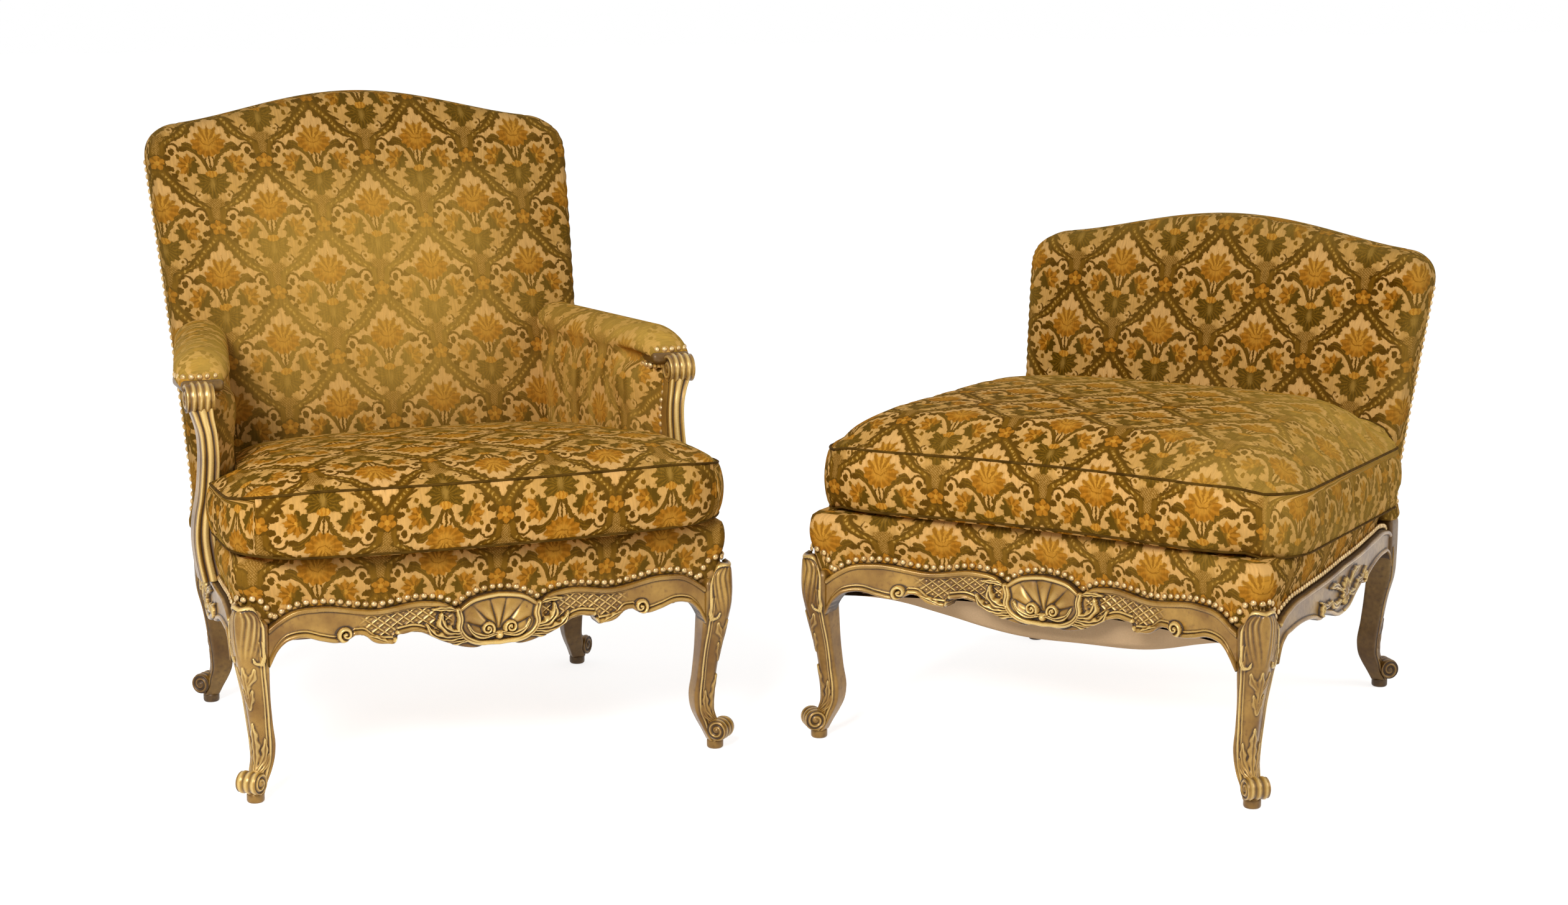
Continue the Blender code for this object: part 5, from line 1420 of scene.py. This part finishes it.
def stool_cushion_plan(u, v):
    start, end = -0.402, 0.300
    y = start + (end - start) * v
    half = 0.411 - 0.036 * v
    x, y = round_corner(u * half, y, half, start, 0.165, -1)
    x, y = round_corner(x, y, half, end, 0.035, 1)
    hollow = 0.050 * (1 - np.minimum(np.abs(x) / 0.400, 1) ** 2) * np.clip((start + 0.12 - y) / 0.12, 0, 1)
    return x, y + hollow


def chair_fall(u, v, x, y):
    corner = 0.018 * np.clip((np.abs(x) - 0.26) / 0.13, 0, 1) ** 2 * np.clip((0.1 - y) / 0.3, 0, 1)
    return 0.044 * v**1.6 + corner, np.zeros_like(x)


def stool_fall(u, v, x, y):
    edge_in = np.clip((np.abs(u) - 0.80) / 0.20, 0, 1) ** 2
    return edge_in * (0.010 + 0.030 * v), np.clip((np.abs(u) - 0.93) / 0.07, 0, 1) * (0.008 + 0.034 * v)


# %% [markdown]
# A cushion starts as a panel with walls and a base, like the covers. Its cloth is measured along
# the swollen surface, so that the pattern does not stretch on the dome. The seams are marked on
# the way, because the simulation must hold them and the piping must find them.

# %% Cushion shapes
def surface_run(x, y, z, columns):
    grid = np.column_stack((x, y, z)).reshape(-1, columns, 3)
    run = []
    for axis in (1, 0):
        steps = np.linalg.norm(np.diff(grid, axis=axis), axis=2)
        far = np.cumsum(np.pad(steps, ((1, 0), (0, 0)) if axis == 0 else ((0, 0), (1, 0))), axis=axis)
        middle = grid.shape[axis] // 2
        shift = np.take(grid[..., 1 - axis] - far, [middle], axis=axis)
        run.append((far + shift).ravel())
    return run


def cushion(name, plan, fall, crown, full, across, up, cloth_uv, wear_and_sheen):
    wall = 10
    piece, u, v, depth, over_c, over_r = panel_grid(name, across, up, wall)
    x, y = plan(u, v)
    side = np.clip((np.abs(u) ** 4 + np.abs(2 * v - 1) ** 4) ** 0.25, 0, 1)
    dome = crown * (1 - side**full) ** 0.7
    down, low = fall(u, v, x, y)
    seam, under = SEAM_TOP - down, SEAM_LOW - low
    z = np.where(depth > 0, seam + (under - seam) * depth, seam + dome)
    grow = 0.007 * np.sin(np.pi * depth)
    x = x + over_c * grow
    y = y + over_r * grow
    move_points(piece, x, y, z)
    around = np.where(over_c != 0, np.sign(u) * (np.abs(x) + (y + 0.36)), x)
    panel_uv, wall_uv = cloth_uv(*surface_run(x, y, z, across + 2 * wall + 1), around, z)
    lay_cloth(piece, panel_uv, wall_uv, depth)
    # The right-hand wall, the right end and the rear of the top turn paler: rubbing, and a painted sheen
    # where the pile faces away from the light.
    wall_wear_and_sheen, right_wear_and_sheen, rear_wear_and_sheen = wear_and_sheen
    rubbed = right_wear_and_sheen * np.clip((u - 0.3) / 0.5, 0, 1) + rear_wear_and_sheen * np.clip((v - 0.5) / 0.4, 0, 1)
    note(piece, "worn", 0.06 + np.where(depth > 0, wall_wear_and_sheen * (over_c > 0), rubbed))
    rim = (np.abs(u) > 0.9999) | (v < 1e-4) | (v > 0.9999)
    lap = np.where(v < 1e-4, u, np.where(u > 0.9999, 1 + 2 * v, np.where(v > 0.9999, 4 - u, 7 - 2 * v)))
    note(piece, "seam_top", np.where(rim & (depth == 0), lap + 2, 0))
    note(piece, "seam_low", np.where(rim & (depth == 1), lap + 2, 0))
    note(piece, "hold", np.where(rim & ((depth == 0) | (depth == 1)), 0.7, 0.0))
    base, u, v, *_ = panel_grid(name + "_base", across, up, 0)
    x, y = plan(u, v)
    side = np.clip((np.abs(u) ** 6 + np.abs(2 * v - 1) ** 6) ** (1 / 6), 0, 1)
    low = fall(u, v, x, y)[1]
    z = SEAM_LOW - low - (SEAM_LOW - CUSHION_LOW) * np.clip((1 - side) / 0.06, 0, 1) ** 0.5
    move_points(base, x, y, z)
    lay_cloth(base, (x, y))
    note(base, "worn", 0.0)
    note(base, "hold", 1.0)
    join(piece, base)
    weld(piece)
    return piece


# %% [markdown]
# Feathers push the cover out evenly, which is what pressure does in a cloth simulation. The base
# and the seams are pinned. The movement is limited, so that a cushion never leaves its seat.

# %% Filling a cushion
PUFF_FRAMES = 20


def puff(piece, pressure, shrink, most):
    start = points_of(piece)
    hold = np.empty(len(start))
    piece.data.attributes["hold"].data.foreach_get("value", hold)
    pins = piece.vertex_groups.new(name="pins")
    for amount in np.unique(hold):
        pins.add(np.flatnonzero(hold == amount).tolist(), float(amount), "REPLACE")
    only(piece)
    cloth = piece.modifiers.new("cloth", "CLOTH")
    set_up = cloth.settings
    set_up.quality = 6
    set_up.mass = 0.15
    set_up.tension_stiffness = 25
    set_up.compression_stiffness = 25
    set_up.shear_stiffness = 10
    set_up.bending_stiffness = 0.6
    set_up.use_pressure = True
    set_up.uniform_pressure_force = pressure
    set_up.shrink_min = shrink
    set_up.vertex_group_mass = "pins"
    set_up.pin_stiffness = 1.0
    set_up.effector_weights.gravity = 0.0
    cloth.collision_settings.use_collision = False
    cloth.point_cache.frame_start, cloth.point_cache.frame_end = 1, PUFF_FRAMES
    scene = bpy.context.scene
    for moment in range(1, PUFF_FRAMES + 1):
        scene.frame_set(moment)
    bpy.ops.object.modifier_apply(modifier="cloth")
    scene.frame_set(1)
    piece.vertex_groups.clear()
    moved = points_of(piece) - start
    far = np.linalg.norm(moved, axis=1)
    moved *= (np.minimum(far, most) / np.maximum(far, 1e-9))[:, None]
    moved *= (1 - hold)[:, None]
    move_points(piece, *(start + moved).T)
    print(piece.name, "moved at most", round(float(far.max()) * 1000, 1), "mm")


# %% [markdown]
# Piping is a cord sewn into a seam. Here a round curve follows the marked corners of the seam
# after the cushion has filled, and becomes a mesh.

# %% Piping, and both cushions made
def piping(name, piece, seam, radius):
    order = np.empty(len(piece.data.vertices))
    piece.data.attributes[seam].data.foreach_get("value", order)
    ring = points_of(piece)[np.argsort(order)][np.sum(order < 0.5):]
    line = bpy.data.curves.new(name, "CURVE")
    line.dimensions, line.bevel_depth, line.bevel_resolution = "3D", radius, 2
    path = line.splines.new("POLY")
    path.points.add(len(ring) - 1)
    path.points.foreach_set("co", np.column_stack((ring, np.ones(len(ring)))).ravel())
    path.use_cyclic_u = True
    cord = bpy.data.objects.new(name, line)
    bpy.context.scene.collection.objects.link(cord)
    only(cord)
    bpy.ops.object.convert(target="MESH")
    return bpy.context.object


welt, tree, shader = new_material("welt")
twist = object_noise(tree, 60.0, 2.0).above(0.5, 0.4)
tree.links.new(tint(tree, twist, srgb(96, 68, 20), srgb(66, 44, 8)), shader.inputs["Base Color"])
shader.inputs["Roughness"].default_value = 0.8
shader.inputs["Specular IOR Level"].default_value = 0.05


def chair_cloth(x, y, around, z):
    middle = 0.4335
    return (x, middle - SEAM_TOP - (y + 0.361)), (around, middle - z)


def stool_cloth(x, y, around, z):
    middle, shift = 0.418, -0.010
    return (x + shift, SEAM_TOP - middle + (y + 0.355)), (around + shift, z - middle)


for seat, plan, fall, crown, full, cloth_uv, wear_and_sheen in (
        (chair, chair_cushion_plan, chair_fall, 0.020, 2.6, chair_cloth, (0.2, 0.1, 0.25)),
        (stool, stool_cushion_plan, stool_fall, 0.046, 5.0, stool_cloth, (0.32, 0.45, 0.35))):
    body = f"{seat.name}_cushion"
    pillow = cushion(body + "_filled", plan, fall, crown, full, 110, 94, cloth_uv, wear_and_sheen)
    puff(pillow, pressure=4.0, shrink=-0.02, most=0.012)
    cords = [piping(f"{body}_piping_{end}", pillow, f"seam_{end}", 0.0021) for end in ("top", "low")]
    for name in ("seam_top", "seam_low", "hold"):
        pillow.data.attributes.remove(pillow.data.attributes[name])
    settle(pillow, seat, body, "velvet", velvet, body)
    for cord in cords:
        settle(cord, seat, body, "velvet", welt)

# %% [markdown]
# Rows of round-headed brass nails hold the covers to the frame. One head is modelled as a low
# dome, half a squashed sphere, and copied along each line, turned to face outward.

# %% Nails
NAIL = 0.0053
PITCH = 0.0126


def nail_head():
    bpy.ops.object.select_all(action="DESELECT")
    bpy.ops.mesh.primitive_uv_sphere_add(segments=10, ring_count=6, radius=NAIL, calc_uvs=False)
    head = bpy.context.object
    bpy.ops.object.mode_set(mode="EDIT")
    bpy.ops.mesh.select_all(action="SELECT")
    bpy.ops.mesh.bisect(plane_co=(0, 0, 0), plane_no=(0, 0, 1), clear_inner=True, use_fill=True)
    bpy.ops.mesh.select_all(action="SELECT")
    bpy.ops.transform.resize(value=(1, 1, 0.72), center_override=(0, 0, 0))
    bpy.ops.object.mode_set(mode="OBJECT")
    return head


def spaced(line, pitch):
    line = np.asarray(line, float)
    run = np.concatenate(([0], np.cumsum(np.linalg.norm(np.diff(line, axis=0), axis=1))))
    at = np.linspace(0, run[-1], max(int(run[-1] / pitch), 1) + 1)
    return np.column_stack([np.interp(at, run, line[:, k]) for k in range(3)])


def nail_line(plan, line, facing, pitch=PITCH):
    for spot in spaced(line, pitch):
        plan.append((spot, facing(spot) if callable(facing) else facing))


def nail_row(name, plan):
    head = nail_head()
    shape = points_of(head)
    faces = [tuple(face.vertices) for face in head.data.polygons]
    bpy.data.objects.remove(head)
    all_points, all_faces = [], []
    for spot, facing in plan:
        turn = Vector((0, 0, 1)).rotation_difference(Vector(facing)).to_matrix()
        base = len(all_points)
        all_points += [turn @ Vector(p) + Vector(spot) for p in shape]
        all_faces += [tuple(base + k for k in face) for face in faces]
    mesh = bpy.data.meshes.new(name)
    mesh.from_pydata(all_points, [], all_faces)
    row = bpy.data.objects.new(name, mesh)
    bpy.context.scene.collection.objects.link(row)
    return row


# %% [markdown]
# The rows run along the top of every rail, round the corner blocks over the front legs, up the
# sides of the backs, and round the pads and linings of the arms.

# %% Nail rows
CORNER_LEAD = np.array([(0.342, 0.2905), (0.348, 0.3025), (0.356, 0.3135)])
CORNER_TURN = 0.0195
ARM_ROWS = ((0.6165, ((0.3515, 0.020), (0.3510, -0.010), (0.3530, -0.034), (0.362, -0.0510), (0.388, -0.0550),
                      (0.404, -0.0525), (0.4125, -0.049), (0.4195, -0.034), (0.4192, -0.012))),
            (0.5895, ((0.3525, 0.020), (0.3520, -0.010), (0.3540, -0.034), (0.362, -0.0510))))


def rail_nails(plan, seat):
    def square_on(spot, step=0.001):
        slope = (seat.front_face(spot[0] + step) - seat.front_face(spot[0] - step)) / (2 * step)
        return slope, -1, 0

    xs = np.linspace(-APRON_HALF, APRON_HALF, 300)
    tops = RAIL_TOP - edge(APRON_TOP, np.abs(xs) / APRON_HALF)
    nail_line(plan, np.column_stack((xs, seat.front_face(xs) + 0.0078, tops + 0.0062)), square_on)
    rear, reach = seat.rear + REAR_RAIL_FACE + 0.003, seat.inner - 0.012
    nail_line(plan, [(-reach, rear, 0.268), (reach, rear, 0.268)], (0, 1, 0))


def side_nails(plan, seat, side):
    along = np.linspace(-seat.side_half, seat.side_half, 200)
    tops = RAIL_TOP - edge(SIDE_TOP, np.abs(along) / seat.side_half)
    ys = seat.side_middle + along
    nail_line(plan, np.column_stack((side * (seat.side_face(ys) - 0.0076), ys, tops + 0.0060)), (side, 0, 0))
    heights = np.linspace(0.33, seat.shoulder - 0.062, 120)
    ys = seat.back_face(heights) + FRAME_BACK - 0.008
    nail_line(plan, np.column_stack((side * (seat.back_half(heights) + 0.0005), ys, heights)), (side, 0, 0))


def corner_nails(plan, seat, side):
    def outward(spot):
        return side * max(abs(spot[0]) - cx, 0), min(spot[1] - cy, 0) - 1e-4, 0

    turn = np.linspace(0, np.pi / 2, 16)
    cx, cy = seat.front_outer - 0.0305, seat.front + 0.0055
    lead_x, lead_z = CORNER_LEAD.T
    xs = np.concatenate((lead_x, cx + CORNER_TURN * np.sin(turn), np.full(3, cx + CORNER_TURN)))
    round_y = cy - CORNER_TURN * np.cos(turn)
    ys = np.concatenate((np.full(3, cy - CORNER_TURN), round_y, cy + cx - lead_x[::-1]))
    zs = np.concatenate((lead_z, 0.3185 - 0.002 * np.sin(2 * turn), lead_z[::-1]))
    nail_line(plan, np.column_stack((side * xs, ys, zs)), outward)


def arm_nails(plan, side):
    def outward(spot):
        out = side * np.clip((abs(spot[0]) - 0.388) / 0.02, -1, 1)
        return out, np.clip((spot[1] + 0.02) / 0.03, -1, 0) - 1e-4, 0

    heights = np.linspace(0.440, 0.584, 60)
    line = np.column_stack((side * (lining_edge(heights) - 0.0005), np.full(60, -0.0550), heights))
    nail_line(plan, line, (-side * 0.8, -0.6, 0), 0.0125)
    for level, bend in ARM_ROWS:
        nail_line(plan, [(side * x, y, level) for x, y in bend], outward, 0.0120)


for seat in (chair, stool):
    plan = []
    rail_nails(plan, seat)
    for side in (-1, 1):
        side_nails(plan, seat, side)
        corner_nails(plan, seat, side)
        if seat is chair:
            arm_nails(plan, side)
    print(seat.name, len(plan), "nails")
    settle(nail_row(f"{seat.name}_nails", plan), seat, seat.name, "giltwood", brass)

# %% [markdown]
# A plain linen cloth is tacked under each seat. On the stool it has stretched with age and hangs
# in a deep bag, which shows below the front rail.

# %% Linen under the seats
def under_cloth(seat, name, level, sag):
    across, up = 70, 60
    piece, column, row = flat_grid(name, across, up)
    u, v = 2 * column / across - 1, row / up
    start, end = seat.front + 0.012, seat.rear - 0.012
    y = start + (end - start) * v
    x = u * (seat.side_face(y) - 0.036)
    y = y - seat.bow_at(x) * np.clip((start + 0.09 - y) / 0.09, 0, 1)
    middle = (1 - u**2) * (1 - (2 * v - 1) ** 2)
    drop = sag * (1 - u**2) * (1 - (2 * v - 1) ** 2) ** 0.8
    folds = 0.004 * np.sin(u * 9 + v * 5) * middle * min(sag / 0.1, 1)
    move_points(piece, x, y, level - drop + folds)
    return piece


for seat, level, sag in ((chair, 0.2600, 0.006), (stool, 0.2395, 0.100)):
    under = under_cloth(seat, f"{seat.name}_linen", level, sag)
    settle(under, seat, seat.name, "linen", linen, f"{seat.name}_undercloth")

# %% [markdown]
# The camera stands where it stood for the photograph. Its place, tilt and lens were worked out from
# where the feet, the knees and the carved shells of both seats lie in the picture.

# %% Camera
scene = bpy.context.scene
scene.view_settings.view_transform = "Standard"
view = bpy.data.cameras.new("camera")
view.lens, view.sensor_width = 61.824, 36.0
camera = bpy.data.objects.new("camera", view)
camera.location = (-1.75961, -4.02486, 1.27)
camera.rotation_euler = (1.385582, 0.0, -0.391313)
scene.collection.objects.link(camera)
scene.camera = camera
print("camera at", [round(n, 2) for n in camera.location])


# %% [markdown]
# The photograph was taken in a white studio. A large soft light stands in front, above and to the
# left, and a weaker one fills in from the right. Floor and sky are plain white to the camera and
# in reflections, but the light that they give the piece is dimmer, so that the shading stays soft
# but visible. The floor still takes the soft shadow.

# %% Floor and light
def plain_view(tree):
    path = tree.nodes.new("ShaderNodeLightPath")
    camera_ray, glossy_ray, clear_ray = (
        Field(tree, path.outputs[name]) for name in ("Is Camera Ray", "Is Glossy Ray", "Is Transmission Ray"))
    return camera_ray.most(glossy_ray).most(clear_ray)


bpy.ops.mesh.primitive_plane_add(size=60, location=(0, 0, 0))
floor = bpy.context.object
floor.name = "floor"
white, tree, shader = new_material("white floor")
shader.inputs["Base Color"].default_value = (0.8, 0.8, 0.8, 1)
shader.inputs["Roughness"].default_value = 1.0
shader.inputs["Specular IOR Level"].default_value = 0.0
shader.inputs["Emission Color"].default_value = (1, 1, 1, 1)
tree.links.new((plain_view(tree) * 0.78).socket, shader.inputs["Emission Strength"])
floor.data.materials.append(white)

sky = bpy.data.worlds.new("studio")
scene.world = sky
sky.use_nodes = True
tree = sky.node_tree
back_light = tree.nodes["Background"]
back_light.inputs["Color"].default_value = (1, 1, 1, 1)
tree.links.new((plain_view(tree) * 0.67 + 0.33).socket, back_light.inputs["Strength"])

for name, place, aim, size, power in (("key", (-3.1, -3.4, 3.2), (-0.2, 0, 0.4), 1.6, 208.0),
                                      ("fill", (3.4, -2.6, 2.2), (0, 0, 0.5), 2.0, 36.0)):
    lamp = bpy.data.lights.new(name, "AREA")
    lamp.size, lamp.energy = size, power
    light = bpy.data.objects.new(name, lamp)
    light.location = place
    light.rotation_euler = (Vector(aim) - Vector(place)).to_track_quat("-Z", "Y").to_euler()
    scene.collection.objects.link(light)
print("floor", floor.name, "and lights", [lamp.name for lamp in bpy.data.lights])
